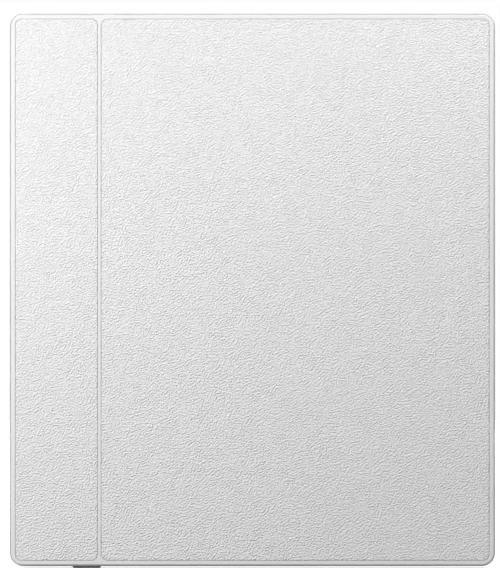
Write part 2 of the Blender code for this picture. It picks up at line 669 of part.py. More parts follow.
def make_shield(name, x_range, height_range, finish):
    """A pressed can over chips, open towards the board."""
    depth_range = (SHIELD_BACK, BOARD[0] - FILM)
    can = sheet(name, finish, x_range, height_range, depth_range, SHIELD_RADIUS, segments=3)
    inner_x = (x_range[0] + SHEET_WALL, x_range[1] - SHEET_WALL)
    inner_z = (height_range[0] + SHEET_WALL, height_range[1] - SHEET_WALL)
    inner_depth = (depth_range[0] + SHEET_WALL, BOARD[0] + PAST)
    cut(can, hole(f"{name}_inside", inner_x, inner_z, inner_depth, SHIELD_RADIUS - SHEET_WALL, segments=3))


def make_usb_port(metal, plastic):
    size = USB_SHELL
    mouth = RIGHT - USB_SETBACK
    centre = spot(mouth - size[0] / 2, USB_HEIGHT, MID_DEPTH)
    shell = part("usb_c_shell", block(size, PILL * size[1], axis=0, segments=8), centre, metal)
    bore = (size[0], size[1] - 2 * USB_WALL, size[2] - 2 * USB_WALL)
    inside = block(bore, PILL * bore[1], axis=0, segments=8)
    cut(shell, tool("usb_c_inside", inside, centre + Vector((USB_BACK, 0, 0))))
    base_size = (TONGUE_BASE, bore[1] - 2 * FILM, bore[2] - 2 * FILM)
    base_place = spot(mouth - size[0] + USB_BACK + FILM + base_size[0] / 2, USB_HEIGHT, MID_DEPTH)
    base_mesh = block(base_size, PILL * base_size[1], axis=0, segments=6)
    tongue = part("usb_c_tongue", base_mesh, base_place, plastic)
    reach = base_size[0] / 2 + TONGUE_BLADE[0] / 2 - TONGUE_OVERLAP
    blade = block(TONGUE_BLADE, BLADE_RADIUS, axis=1, segments=2)
    join(tongue, tool("usb_c_blade", blade, base_place + Vector((reach, 0, 0))))


def make_card_tray(finish, metal):
    face_x = (RIGHT - TRAY_FACE[0], RIGHT)
    size, place = span(face_x, around(TRAY_HEIGHT, TRAY_FACE[2]), around(MID_DEPTH, TRAY_FACE[1]))
    face = block(size, PILL * TRAY_FACE[1], axis=0, segments=8, edge_high=TRAY_EDGE, edge_segments=2)
    tray = part("card_tray", face, place, finish)
    plate_right = RIGHT - TRAY_FACE[0] / 2
    plate_x = (plate_right - TRAY_PLATE[0], plate_right)
    size, place = span(plate_x, around(TRAY_HEIGHT, TRAY_PLATE[2]), around(TRAY_DEPTH, TRAY_PLATE[1]))
    join(tray, tool("tray_plate", block(size, PLATE_RADIUS, segments=3), place))
    card_x = (plate_x[0] + CARD_MARGIN, plate_x[0] + CARD_MARGIN + CARD[0])
    through = (PAST, BODY_THICKNESS - PAST)
    cut(tray, hole("card_pocket", card_x, around(TRAY_HEIGHT, CARD[1]), through, CARD_RADIUS, segments=2))
    pin_place = spot(RIGHT, TRAY_HEIGHT + PIN_OFFSET, MID_DEPTH)
    cut(tray, tool("pin_hole", rod(PIN_RADIUS, PIN_LENGTH, axis=0, sides=12), pin_place))

    socket_x = (RIGHT - SOCKET_SETBACK - SOCKET[0], RIGHT - SOCKET_SETBACK)
    size, place = span(socket_x, around(TRAY_HEIGHT, SOCKET[2]), around(TRAY_DEPTH, SOCKET[1]))
    socket = part("card_socket", block(size), place, metal)
    inner_x = (socket_x[0] + SHEET_WALL, RIGHT)
    inner_z = around(TRAY_HEIGHT, SOCKET[2] - 2 * SHEET_WALL)
    cut(socket, hole("socket_inside", inner_x, inner_z, around(TRAY_DEPTH, SOCKET[1] - 2 * SHEET_WALL)))


def make_speaker(plastic, cloth):
    far, near, length = SPEAKER_BOX
    x_range, z_range = (RIGHT - far, RIGHT - near), around(SPEAKER_HEIGHT, length)
    box = sheet("loudspeaker", plastic, x_range, z_range, SPEAKER_DEPTH, SPEAKER_RADIUS, segments=3)
    far, length, thickness = SPEAKER_OUTLET
    outlet_depth = around(MID_DEPTH, thickness)
    cut(box, hole("sound_outlet", (RIGHT - far, RIGHT), around(SPEAKER_HEIGHT, length), outlet_depth))
    far, near, length, thickness = SPEAKER_MESH
    mesh_depth = around(MID_DEPTH, thickness)
    sheet("speaker_mesh", cloth, (RIGHT - far, RIGHT - near), around(SPEAKER_HEIGHT, length), mesh_depth)


def make_battery(pouch, board, wire):
    sheet(
        "battery_cell", pouch, CELL_X, CELL_Z, CELL, CELL_RADIUS,
        segments=3, edge_low=CELL_EDGE, edge_high=CELL_EDGE, edge_segments=2,
    )
    sheet("battery_board", board, *CELL_BOARD)
    make_wire("battery_lead", BATTERY_LEAD, BATTERY_LEAD_RADIUS, wire)


def make_antenna(film, wire):
    sheet("antenna", film, *ANTENNA, ANTENNA_RADIUS, segments=2)
    make_wire("antenna_lead", ANTENNA_LEAD, ANTENNA_LEAD_RADIUS, wire)


def make_wire(name, route, radius, finish):
    """A round wire through points given as (x, height), all at one depth."""
    data = bpy.data.curves.new(name, "CURVE")
    data.dimensions = "3D"
    data.bevel_depth = radius
    data.bevel_resolution = 2
    data.render_resolution_u = 0
    data.use_fill_caps = True
    line = data.splines.new("POLY")
    line.points.add(len(route) - 1)
    for point, (x, height) in zip(line.points, route):
        point.co = (*spot(x, height, LEAD_DEPTH), 1.0)
    data.materials.append(finish)
    PARTS.objects.link(bpy.data.objects.new(name, data))


def make_magnets(finish):
    """Two magnets that hold a folding cover shut, beside the narrow bezel."""
    magnet_x = (LEFT + MAGNET_X[0], LEFT + MAGNET_X[1])
    for side, height in MAGNET_HEIGHTS.items():
        sheet(
            f"{side}_magnet", finish, magnet_x, around(height, MAGNET_LENGTH), MAGNET_DEPTH,
            edge_high=MAGNET_EDGE, edge_segments=1,
        )


# ---------------------------------------------------------------- fasteners


def screw_mesh(shank_length):
    """A pan-head screw with a cross recess, head towards -Y, from the underside of its head."""
    bm = bmesh.new()
    profile = (
        (0.0, -SCREW_HEAD_HEIGHT),
        (0.7 * SCREW_HEAD, -SCREW_HEAD_HEIGHT),
        (SCREW_HEAD, -0.6 * SCREW_HEAD_HEIGHT),
        (SCREW_HEAD, 0.0),
        (SCREW_SHANK, 0.0),
        (SCREW_SHANK, shank_length - SCREW_POINT),
        (0.6 * SCREW_SHANK, shank_length),
        (0.0, shank_length),
    )
    verts = [bm.verts.new((radius, y, 0.0)) for radius, y in profile]
    edges = [bm.edges.new(pair) for pair in zip(verts, verts[1:])]
    bmesh.ops.spin(
        bm, geom=verts + edges, cent=(0, 0, 0), axis=(0, 1, 0), angle=math.tau, steps=12, use_merge=True
    )
    bmesh.ops.remove_doubles(bm, verts=bm.verts, dist=1e-7)
    blank = tool("screw_blank", to_mesh(bm), (0, 0, 0))
    slots = []
    for size in (SCREW_SLOT, SCREW_SLOT[::-1]):
        slots.append(tool("screw_slot", block(size), (0, -SCREW_HEAD_HEIGHT, 0)))
    cut(blank, *slots)
    bpy.context.view_layer.update()
    finished = bpy.data.meshes.new_from_object(blank.evaluated_get(bpy.context.evaluated_depsgraph_get()))
    for used in (blank, *slots):
        bpy.data.objects.remove(used, do_unlink=True)
    return finished


def make_screws(finish):
    """Frame screws go in from the front, board screws from the back."""
    groups = (
        ("frame_screw", FRAME_SCREWS, FRAME[1] + FILM, FRAME_SCREW_LENGTH, 0.0),
        ("board_screw", BOARD_SCREWS, BOARD[0] - FILM, BOARD_SCREW_LENGTH, math.pi),
    )
    for name, places, depth, length, turn in groups:
        mesh = screw_mesh(length)
        for number, (x, height) in enumerate(places, 1):
            screw = part(f"{name}_{number}", mesh, spot(x, height, depth), finish)
            screw.rotation_euler = (0, 0, turn)
        mesh.name = name


def build():
    white = material("white_plastic", (0.86, 0.86, 0.85), 0.45)
    grain = material("grained_inlay", (0.84, 0.84, 0.83), 0.6)
    bezel = material("lens_white", (0.88, 0.88, 0.87), 0.35)
    button_metal = material("dark_anodised", (0.11, 0.11, 0.12), 0.4, 0.8)
    key_white = material("key_white", (0.82, 0.82, 0.82), 0.35)
    magnesium = material("frame_metal", (0.45, 0.46, 0.47), 0.5, 0.9)
    black = material("black_plastic", (0.03, 0.03, 0.03), 0.5)
    steel = material("stamped_steel", (0.62, 0.62, 0.61), 0.35, 1.0)
    board = material("circuit_board", (0.03, 0.10, 0.06), 0.5)
    package = material("chip_package", (0.02, 0.02, 0.022), 0.45)
    flex = material("flex_film", (0.45, 0.22, 0.05), 0.4)
    pouch = material("battery_pouch", (0.5, 0.5, 0.52), 0.4, 0.7)
    paper = material("epaper_face", (0.6, 0.61, 0.58), 0.7)
    clear = material("clear_acrylic", (0.9, 0.92, 0.93), 0.1)
    wire = material("wire_sleeve", (0.02, 0.02, 0.02), 0.5)
    magnet = material("nickel_plate", (0.6, 0.6, 0.58), 0.25, 1.0)

    make_back_cover(white)
    make_inlays(grain)
    make_mid_frame(magnesium)
    make_bezel_spacer(white)
    make_lens(bezel)
    make_screen(paper, clear, clear, flex)
    make_screen_flex(flex)
    make_page_keys(key_white, black)
    make_power_button(button_metal, black)
    make_main_board(board)
    make_chips(package, black)
    for name, x_range, height_range in SHIELDS:
        make_shield(name, x_range, height_range, steel)
    make_usb_port(steel, black)
    make_card_tray(white, steel)
    make_speaker(black, black)
    make_battery(pouch, board, wire)
    make_antenna(flex, wire)
    make_magnets(magnet)
    make_screws(steel)


clear_scene()
PARTS = make_collection("e_reader")
CUTTERS = make_collection("cutters")
build()
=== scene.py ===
"""Looks of the seven-inch e-reader: +Z up, screen facing -Y, back facing +Y, grip on +X. Metres."""

import json
import math

import bmesh
import bpy
import numpy as np
from mathutils import Matrix, Vector, noise


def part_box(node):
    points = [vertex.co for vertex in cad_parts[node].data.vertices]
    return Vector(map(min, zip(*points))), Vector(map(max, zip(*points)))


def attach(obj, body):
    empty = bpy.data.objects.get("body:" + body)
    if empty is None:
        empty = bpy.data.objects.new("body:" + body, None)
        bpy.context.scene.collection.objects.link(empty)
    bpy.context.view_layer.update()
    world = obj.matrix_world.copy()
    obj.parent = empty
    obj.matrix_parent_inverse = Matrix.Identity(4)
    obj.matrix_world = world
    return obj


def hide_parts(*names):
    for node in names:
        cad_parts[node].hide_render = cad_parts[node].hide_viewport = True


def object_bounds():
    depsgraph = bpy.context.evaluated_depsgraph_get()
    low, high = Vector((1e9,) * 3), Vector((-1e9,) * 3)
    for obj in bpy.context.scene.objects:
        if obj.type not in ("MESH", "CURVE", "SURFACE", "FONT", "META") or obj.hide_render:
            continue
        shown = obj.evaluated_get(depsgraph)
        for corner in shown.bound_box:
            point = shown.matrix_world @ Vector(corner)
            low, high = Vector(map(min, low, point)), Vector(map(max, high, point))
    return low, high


MM = 0.001
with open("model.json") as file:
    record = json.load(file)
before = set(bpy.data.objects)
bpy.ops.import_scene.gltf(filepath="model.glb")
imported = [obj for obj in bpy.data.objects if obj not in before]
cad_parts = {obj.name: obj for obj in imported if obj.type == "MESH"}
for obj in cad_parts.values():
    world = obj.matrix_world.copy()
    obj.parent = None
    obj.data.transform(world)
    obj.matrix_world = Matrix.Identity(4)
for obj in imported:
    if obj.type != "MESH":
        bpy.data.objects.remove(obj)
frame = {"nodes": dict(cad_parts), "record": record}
cad_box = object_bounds()

CASE_LOW, CASE_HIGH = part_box("back_cover")
CASE_SIZE = CASE_HIGH - CASE_LOW
CASE_MIDDLE = (CASE_LOW + CASE_HIGH) / 2
LENS_LOW, LENS_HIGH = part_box("cover_lens")
PANEL_LOW, PANEL_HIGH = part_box("epaper_panel")
BACK_Y = CASE_HIGH.y
FRONT_Y = CASE_LOW.y
MID_Y = CASE_MIDDLE.y

# Meshes
RADIUS_SHARE = 0.4999            # largest corner radius, as a share of a side
LEAST_CORNER = 0.02 * MM
CUT_PAST = 1 * MM                # how far a cutter runs past the face that it opens
SHARP_ANGLE = 32
INLAY_SHARP_ANGLE = 50
FACE_WEIGHT = 50                 # of large faces over small ones in the shading, as Blender counts it

# Casing
CORNER_RADIUS = 3.8 * MM
BACK_FILLET = 0.3 * MM
SEAM_DEPTH = 1.0 * MM
SEAM_EDGE = 0.04 * MM
SEAM_LIP = 0.09 * MM             # from the outer edge to the seam's gap
SEAM_INSET = 0.35 * MM           # the back half stands this far inside the front half
SEAM_GAP_DEPTH = 0.3 * MM
DRAFT = 0.06 * MM
FRONT_FILLET = 0.5 * MM
WALL = 1.3 * MM
CAVITY_RADIUS = 2.5 * MM
FLOOR_DEPTH = 1.35 * MM
LENS_RIM = 1.0 * MM
BOND_GAP = 0.1 * MM              # between the lens and the ledge behind it
RECESS_DEPTH = 0.75 * MM
RECESS_RADIUS = 1.9 * MM
GROOVE = 0.3 * MM
MOUTH_FILLET = 0.09 * MM
MOUTH_DEPTH = 3 * MM
HOLE_FLARE = 0.1 * MM

# Inlays
INLAY_THICKNESS = 0.6 * MM
INLAY_GAP = 0.02 * MM            # between an inlay's skin and its recess
INLAY_PITCH = 0.45 * MM
# Rows of points inward from an inlay's edge. The last distance is the inlay's corner radius too.
EDGE_ROWS = [r * MM for r in (0.0, 0.05, 0.08, 0.11, 0.14, 0.17, 0.20, 0.23, 0.26, 0.4, 0.7, 1.1, 1.5, 1.88)]
EDGE_DROP = 0.30 * MM
EDGE_ROLL = (0.05 * MM, 0.26 * MM)  # the edge drops between these distances inward
RELIEF = 0.01 * MM
RELIEF_FADE = 1.0 * MM           # the relief grows from nothing over this width, inside the rolled edge
RELIEF_SHARES = (0.6, 0.4)       # the steady part of the relief and the part that swells
SWELL_SCALE = 0.35               # swells in a millimetre
SWELL_SLICE = 3.1
SWELL_SHAPE = (0.8, 2.1, 3)      # fractal increment, lacunarity and octaves

# Lens and screen
LENS_RADIUS = 2.6 * MM
LENS_EDGE = 0.15 * MM
KEY_GAP = 0.3 * MM
ACTIVE_WIDTH = 107.0 * MM
ACTIVE_HEIGHT = 142.24 * MM
PANEL_BORDER = 1.4 * MM

# Page keys
KEY_WIDTH = 5.0 * MM
KEY_LENGTH = 30.0 * MM
KEY_STEM = 0.8 * MM              # half of the width of the stem behind the flange
KEY_FLANGE = 1.1 * MM
KEY_FLANGE_LEVELS = (-2.2 * MM, -1.65 * MM)  # along Y, front and back
KEY_EDGE = 0.32 * MM
# Dishes are (inset from the outline, how far it is sunk there).
KEY_DISH = ((0.8 * MM, 0.0), (1.2 * MM, 0.05 * MM), (1.7 * MM, 0.10 * MM), (2.2 * MM, 0.12 * MM))

# Power button, on the lower edge
BUTTON_SIZE = (8.0 * MM, 2.6 * MM)  # width and depth
BUTTON_EDGE = 0.25 * MM
BUTTON_DISH = ((0.6 * MM, 0.04 * MM), (1.1 * MM, 0.06 * MM))
BUTTON_FLANGE = (10.2 * MM, 2.4 * MM, 0.5 * MM)  # width, depth and thickness
BUTTON_FLANGE_RADIUS = 1.0 * MM

# Card tray, in the grip edge
TRAY_FACE = (1.2 * MM, 2.2 * MM, 14.0 * MM)  # along X, Y and Z
TRAY_EDGE = 0.12 * MM
TRAY_PLATE = (17.6 * MM, 12.6 * MM)  # along X and Z
TRAY_LEVELS = (0.15 * MM, 1.05 * MM)  # of the plate along Y, front and back
PLATE_EDGE = 0.05 * MM
PLATE_RADIUS = 0.8 * MM
CARD = (15.1 * MM, 11.1 * MM)    # along X and Z
CARD_RADIUS = 0.5 * MM
CARD_MARGIN = 0.8 * MM           # from the plate's inner end to the card's pocket
POCKET_FLOOR = 0.2 * MM
WINDOW_INSET = 0.9 * MM
WINDOW_RADIUS = 1.6 * MM
PIN_OFFSET = 5.3 * MM
PIN_RADIUS = 0.4 * MM
PIN_DEPTH = 0.7 * MM
PIN_FLARE = 0.08 * MM

# Holes in the grip edge, heights above the lower edge
MIC_HEIGHT = 36.0 * MM
MIC_RADIUS = 0.5 * MM
SPEAKER_HEIGHT = 134.5 * MM
SPEAKER_HOLES = 7
SPEAKER_PITCH = 2.4 * MM
SPEAKER_RADIUS = 0.6 * MM

# USB-C port
USB_GAP = 0.1 * MM
USB_WALL = 0.3 * MM
USB_BACK = 0.7 * MM
USB_LIP = 0.12 * MM
TONGUE_BASE = 1.2 * MM
TONGUE_SIZE = (5.4 * MM, 0.7 * MM, 6.7 * MM)  # along X, Y and Z
TONGUE_EDGE = 0.1 * MM
TONGUE_RADIUS = 0.5 * MM

# Finishes. A scale is how many waves or grains lie in a millimetre.
NOISE_SPAN = (0.3, 0.7)          # nearly all of a noise lies between these
TONE_SPAN = (0.35, 0.65)
PATCH_SCALE = 0.12
PATCH_SHARE, GRAIN_SHARE = 0.6, 0.4
MARK_SCALE = 0.4                 # rubbed marks, times the scale of the finish
MARK_SPAN = (0.62, 0.72)
MARK_ROUGHNESS = 0.08
COAT_ROUGHNESS = 0.08
PLASTIC_SPECULAR = 0.35
PEEL_RELIEF = 0.006 * MM
MOULD_RELIEF = 0.003 * MM

# Creases of the inlays' grain: how many in a millimetre, lie of their slopes in degrees from +X
# towards +Z, shift in millimetres
CREASES = ((1.05, 57, 0.0), (1.4, 71, 217.0))
CREASE_SPREAD = 0.25             # 0 lets them lie every way, 1 keeps them parallel
STRENGTH_FLOOR = 0.15            # keeps a nearly flat place from being divided by nearly nothing
GRAIN_DEPTH = 0.34 * MM

# Page on the screen, in millimetres
PAGE_MARGIN = 9.0
PAGE_SPACE = 6.0                 # from the margin to the first line, and from the last line to the foot
LINE_PITCH = 4.4
LINES = 25
PARAGRAPH = 8                    # lines in a paragraph
PARAGRAPHS_ABOVE = 10            # enough to count the rows above the first line as well
INDENT = 5.0
LAST_LINE_CUT = 0.45             # how much of a paragraph's last line is empty
INK_BAND = (0.32, 0.57)          # of a line's pitch
WORD_SCALE = 0.22
WORD_UNEVENNESS = 0.75
WORD_GAP = 0.11
ROW_SHIFT = 31.7                 # sets the words of each row apart from those of the last
HEADING_LEVELS = (-7.0, -6.1)    # below the first line, so above it where negative
HEADING_REACH = 11.0
PROGRESS = 0.36
PROGRESS_REACH = 0.45            # half the thickness of the line up to there, and of the rest
TRACK_REACH = 0.12
SCREEN_SHADE_LINE = 0.12               # half the width of the dark line of painted shade around the screen
PAPER = ((0.58, 0.585, 0.57), (0.62, 0.62, 0.605))
INK = (0.11, 0.11, 0.115)
BORDER_TONE = 0.97

# Contacts on the USB-C tongue, in millimetres
CONTACT_PITCH = 0.5
CONTACT_BAND = (0.22, 0.78)      # of the pitch
CONTACT_ROW = 3.0                # half of a row's length
CONTACT_RUN = (-2.0, 2.2)
GILT = (0.72, 0.50, 0.20)

# Camera: what it takes in at the reader's widest outline, and how far its aim lies from the middle
LENS_LENGTH = 300.0
SENSOR = 36.0
CLIP_START = 0.05
VIEW_HEIGHT = 162.27 * MM
AIM_OFFSET = (0.687 * MM, 0.660 * MM)

# Surround. The floor's glow is (distances in millimetres), (strengths there).
FLOOR_SIZE = 1.5
FLOOR_GLOW = ((90, 360), (0.48, 1.0))
DOME_LEVEL = 0.34
DOME_SLOPE = (0.10, 0.0, 0.19)
# Soft boxes: name, place from the middle of the back in millimetres, width and height in millimetres, watts
LAMPS = (
    ("top_strip", (-82, 121, 198), (737, 60), 0.76),
    ("side_box", (251, 170, 47), (80, 80), 0.45),
    ("low_fill", (-200, 300, -120), (200, 200), 0.42),
    ("front_fill", (150, -1200, 300), (700, 700), 9.0),
)

# For a loft along each axis, which of its outline's two values and its level goes to X, Y and Z
AXIS_ORDER = {"X": (2, 0, 1), "Y": (0, 2, 1), "Z": (0, 1, 2)}
COLLECTION = bpy.context.scene.collection


# ---------------------------------------------------------------- shapes


def rounded_outline(width, height, radius, segments):
    """Points of a rounded rectangle about the origin, anticlockwise."""
    points = []
    radius = min(radius, RADIUS_SHARE * width, RADIUS_SHARE * height)
    for quarter, (side, level) in enumerate(((1, 1), (-1, 1), (-1, -1), (1, -1))):
        centre = (side * (width / 2 - radius), level * (height / 2 - radius))
        for step in range(segments + 1):
            angle = math.pi / 2 * (quarter + step / segments)
            points.append((centre[0] + radius * math.cos(angle), centre[1] + radius * math.sin(angle)))
    return points


def loft(rings, width, height, radius, segments, axis="Y"):
    """A closed mesh through rounded rectangles. Each ring is (inset of the outline, level on the axis)."""
    bm = bmesh.new()
    rows = []
    for inset, level in rings:
        corner = max(radius - inset, LEAST_CORNER)
        row = []
        for a, b in rounded_outline(width - 2 * inset, height - 2 * inset, corner, segments):
            values = (a, b, level)
            row.append(bm.verts.new([values[AXIS_ORDER[axis][i]] for i in range(3)]))
        rows.append(row)
    for row, following in zip(rows, rows[1:]):
        for i in range(len(row)):
            j = (i + 1) % len(row)
            bm.faces.new((row[i], row[j], following[j], following[i]))
    bm.faces.new(rows[0])
    bm.faces.new(rows[-1])
    bmesh.ops.recalc_face_normals(bm, faces=bm.faces)
    mesh = bpy.data.meshes.new("loft")
    bm.to_mesh(mesh)
    bm.free()
    return mesh


def fillet(radius, level, direction, steps, start=0.0):
    """Rings of a quarter-round edge, from the side wall to the face at a level."""
    rings = []
    for step in range(steps + 1):
        angle = math.pi / 2 * step / steps
        inset = start + radius * (1 - math.cos(angle))
        rings.append((inset, level - direction * radius * (1 - math.sin(angle))))
    return rings


def flare(radius, level, direction, steps=3):
    """Rings of a cutter that leaves a rounded mouth on a face at a level."""
    rings = []
    for step in range(steps + 1):
        angle = math.pi / 2 * step / steps
        rings.append((-radius * (1 - math.cos(angle)), level - direction * radius * (1 - math.sin(angle))))
    rings.append((-radius, level + direction * CUT_PAST))
    return rings


def piece(name, mesh, place=(0, 0, 0)):
    mesh.name = name
    obj = bpy.data.objects.new(name, mesh)
    obj.location = place
    COLLECTION.objects.link(obj)
    return obj


def round_cutter(radius, low, high, bevel):
    """A round bar along X between two levels, flared at its upper end."""
    rings = [(0, low), (0, high - bevel), (-bevel, high), (-bevel, high + CUT_PAST)]
    return loft(rings, 2 * radius, 2 * radius, radius, segments=6, axis="X")


def carve(obj, tools, operation="DIFFERENCE"):
    """Cuts or joins other meshes, given as (mesh, place), and bakes the result into the piece."""
    used = []
    for mesh, place in tools:
        other = piece("tool", mesh, place)
        step = obj.modifiers.new("step", "BOOLEAN")
        step.operation = operation
        step.solver = "EXACT"
        step.object = other
        used.append(other)
    bpy.context.view_layer.update()
    graph = bpy.context.evaluated_depsgraph_get()
    result = bpy.data.meshes.new_from_object(obj.evaluated_get(graph))
    obj.modifiers.clear()
    obj.data = result
    for other in used:
        bpy.data.objects.remove(other, do_unlink=True)


def finish_shading(obj):
    obj.data.shade_smooth()
    obj.data.set_sharp_from_angle(angle=math.radians(SHARP_ANGLE))
    normals = obj.modifiers.new("normals", "WEIGHTED_NORMAL")
    normals.keep_sharp = True
    normals.weight = FACE_WEIGHT


def stands_for(obj, node, body, made):
    """The piece takes a node's place, on its body, with its material."""
    obj.data.materials.clear()
    obj.data.materials.append(made)
    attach(obj, body)
    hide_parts(node)


# ---------------------------------------------------------------- material nodes


class Graph:
    """A material's nodes, written as calls."""

    def __init__(self, name):
        self.material = bpy.data.materials.new(name)
        self.material.use_nodes = True
        self.nodes = self.material.node_tree.nodes
        self.links = self.material.node_tree.links
        self.shader = self.nodes["Principled BSDF"]
        place = self.nodes.new("ShaderNodeTexCoord")
        scale = self.nodes.new("ShaderNodeVectorMath")
        scale.operation = "SCALE"
        scale.inputs["Scale"].default_value = 1 / MM
        self.links.new(place.outputs["Object"], scale.inputs[0])
        self.place = scale.outputs["Vector"]

    def put(self, socket, value):
        """A link from another socket, or a constant."""
        if isinstance(value, bpy.types.NodeSocket):
            self.links.new(value, socket)
        elif isinstance(value, tuple) and len(value) == 3 and socket.type == "RGBA":
            socket.default_value = (*value, 1.0)
        else:
            socket.default_value = value

    def math(self, operation, a, b=0.0, c=0.0):
        node = self.nodes.new("ShaderNodeMath")
        node.operation = operation
        for socket, value in zip(node.inputs, (a, b, c)):
            self.put(socket, value)
        return node.outputs[0]

    def stretch(self, factors):
        """Coordinates in millimetres times a factor on each axis."""
        node = self.nodes.new("ShaderNodeVectorMath")
        node.operation = "MULTIPLY"
        self.put(node.inputs[0], self.place)
        self.put(node.inputs[1], factors)
        return node.outputs["Vector"]

    def noise(self, scale, detail=2.0, roughness=0.5, source=None):
        node = self.nodes.new("ShaderNodeTexNoise")
        self.put(node.inputs["Vector"], source or self.place)
        node.inputs["Scale"].default_value = scale
        node.inputs["Detail"].default_value = detail
        node.inputs["Roughness"].default_value = roughness
        return node.outputs["Fac"]

    def cells(self, scale, feature="F1", source=None):
        node = self.nodes.new("ShaderNodeTexVoronoi")
        node.feature = feature
        self.put(node.inputs["Vector"], source or self.place)
        node.inputs["Scale"].default_value = scale
        return node.outputs["Distance"]

    def spread(self, value, low, high, to_low=0.0, to_high=1.0, smooth=False):
        """A value moved from one span to another, and held inside it."""
        node = self.nodes.new("ShaderNodeMapRange")
        if smooth:
            node.interpolation_type = "SMOOTHSTEP"
        given = {"Value": value, "From Min": low, "From Max": high, "To Min": to_low, "To Max": to_high}
        for name, level in given.items():
            self.put(node.inputs[name], level)
        return node.outputs["Result"]

    def mix(self, factor, a, b):
        """One colour at a factor of 0, the other at 1."""
        node = self.nodes.new("ShaderNodeMix")
        node.data_type = "RGBA"
        self.put(node.inputs["Factor"], factor)
        self.put(node.inputs[6], a)
        self.put(node.inputs[7], b)
        return node.outputs[2]

    def split(self):
        """The object's x, y and z in millimetres."""
        node = self.nodes.new("ShaderNodeSeparateXYZ")
        self.put(node.inputs[0], self.place)
        return node.outputs["X"], node.outputs["Y"], node.outputs["Z"]

    def bump(self, height, distance, under=None):
        """Relief from a height of 0 to 1 times a distance in metres."""
        node = self.nodes.new("ShaderNodeBump")
        node.inputs["Distance"].default_value = distance
        self.put(node.inputs["Height"], height)
        if under is not None:
            self.put(node.inputs["Normal"], under)
        return node.outputs["Normal"]

    def between(self, value, low, high):
        """1 where a value lies between two levels, 0 elsewhere."""
        over, under = self.math("GREATER_THAN", value, low), self.math("LESS_THAN", value, high)
        return self.math("MULTIPLY", over, under)

    def set(self, **values):
        """Principled inputs by name, with underscores for spaces."""
        for name, value in values.items():
            self.put(self.shader.inputs[name.replace("_", " ")], value)


def grey(level):
    return (level, level, level)


def case_white():
    """White moulding with a faint orange peel."""
    g = Graph("case_white")
    tone = g.noise(scale=0.05, detail=3.0)
    peel = g.noise(scale=2.4)
    fine = g.noise(scale=9.0)
    g.set(
        Base_Color=g.mix(tone, grey(0.735), grey(0.755)),
        Roughness=g.spread(peel, *NOISE_SPAN, to_low=0.42, to_high=0.50),
        Normal=g.bump(fine, MOULD_RELIEF, under=g.bump(peel, PEEL_RELIEF)),
        Specular_IOR_Level=PLASTIC_SPECULAR,
    )
    return g.material


def inlay_grain():
    """Fine wrinkled leather grain: short slanting creases about a millimetre apart or less, with painted
    shade in their low parts.
    """
    g = Graph("inlay_grain")
    x, _, z = g.split()
    middle = 0.5
    wrinkle = middle
    for pitch, lie, shift in CREASES:
        flat = g.nodes.new("ShaderNodeCombineXYZ")
        g.put(flat.inputs["X"], g.math("ADD", x, shift))
        g.put(flat.inputs["Y"], z)
        crease = g.nodes.new("ShaderNodeTexGabor")
        crease.gabor_type = "2D"
        g.put(crease.inputs["Vector"], flat.outputs["Vector"])
        crease.inputs["Scale"].default_value = 1.0
        crease.inputs["Frequency"].default_value = pitch
        crease.inputs["Anisotropy"].default_value = CREASE_SPREAD
        crease.inputs["Orientation"].default_value = math.radians(lie)
        # Dividing by the local strength keeps the creases equally deep all over.
        wave = g.math("SUBTRACT", crease.outputs["Value"], middle)
        even = g.math("DIVIDE", wave, g.math("ADD", crease.outputs["Intensity"], STRENGTH_FLOOR))
        wrinkle = g.math("MULTIPLY_ADD", even, 1 / len(CREASES), wrinkle)
    tone = g.noise(scale=0.03)
    colour = g.mix(tone, grey(0.795), grey(0.815))
    # The base colour darkens to 0.72 where the creases are low: painted shade in the hollows of the grain.
    g.set(
        Base_Color=g.mix(g.spread(wrinkle, *NOISE_SPAN), grey(0.72), colour),
        Roughness=g.spread(wrinkle, 0.25, 0.75, to_low=0.6, to_high=0.5),
        Normal=g.bump(wrinkle, GRAIN_DEPTH),
        Specular_IOR_Level=PLASTIC_SPECULAR,
    )
    return g.material


def surface(name, dark, light, rough, scale, relief, metallic=0.0, stretch=(1, 1, 1), specular=0.5, coat=0.0):
    """A finish with uneven tone and fine relief. Roughness is (low, high), relief is in millimetres."""
    g = Graph(name)
    source = g.stretch(stretch)
    patches = g.noise(scale=PATCH_SCALE, detail=3.0)
    fine = g.noise(scale=scale, detail=3.0, source=source)
    rubbed = g.noise(scale=scale * MARK_SCALE, detail=4.0, roughness=0.7, source=source)
    marks = g.spread(rubbed, *MARK_SPAN)
    tone = g.math("ADD", g.math("MULTIPLY", patches, PATCH_SHARE), g.math("MULTIPLY", fine, GRAIN_SHARE))
    worn = g.math("MULTIPLY", marks, MARK_ROUGHNESS)
    g.set(
        Base_Color=g.mix(g.spread(tone, *TONE_SPAN), dark, light),
        Roughness=g.math("ADD", g.spread(fine, *NOISE_SPAN, *rough), worn),
        Normal=g.bump(fine, relief * MM),
        Metallic=metallic,
        Specular_IOR_Level=specular,
        Coat_Weight=coat,
        Coat_Roughness=COAT_ROUGHNESS,
    )
    return g.material


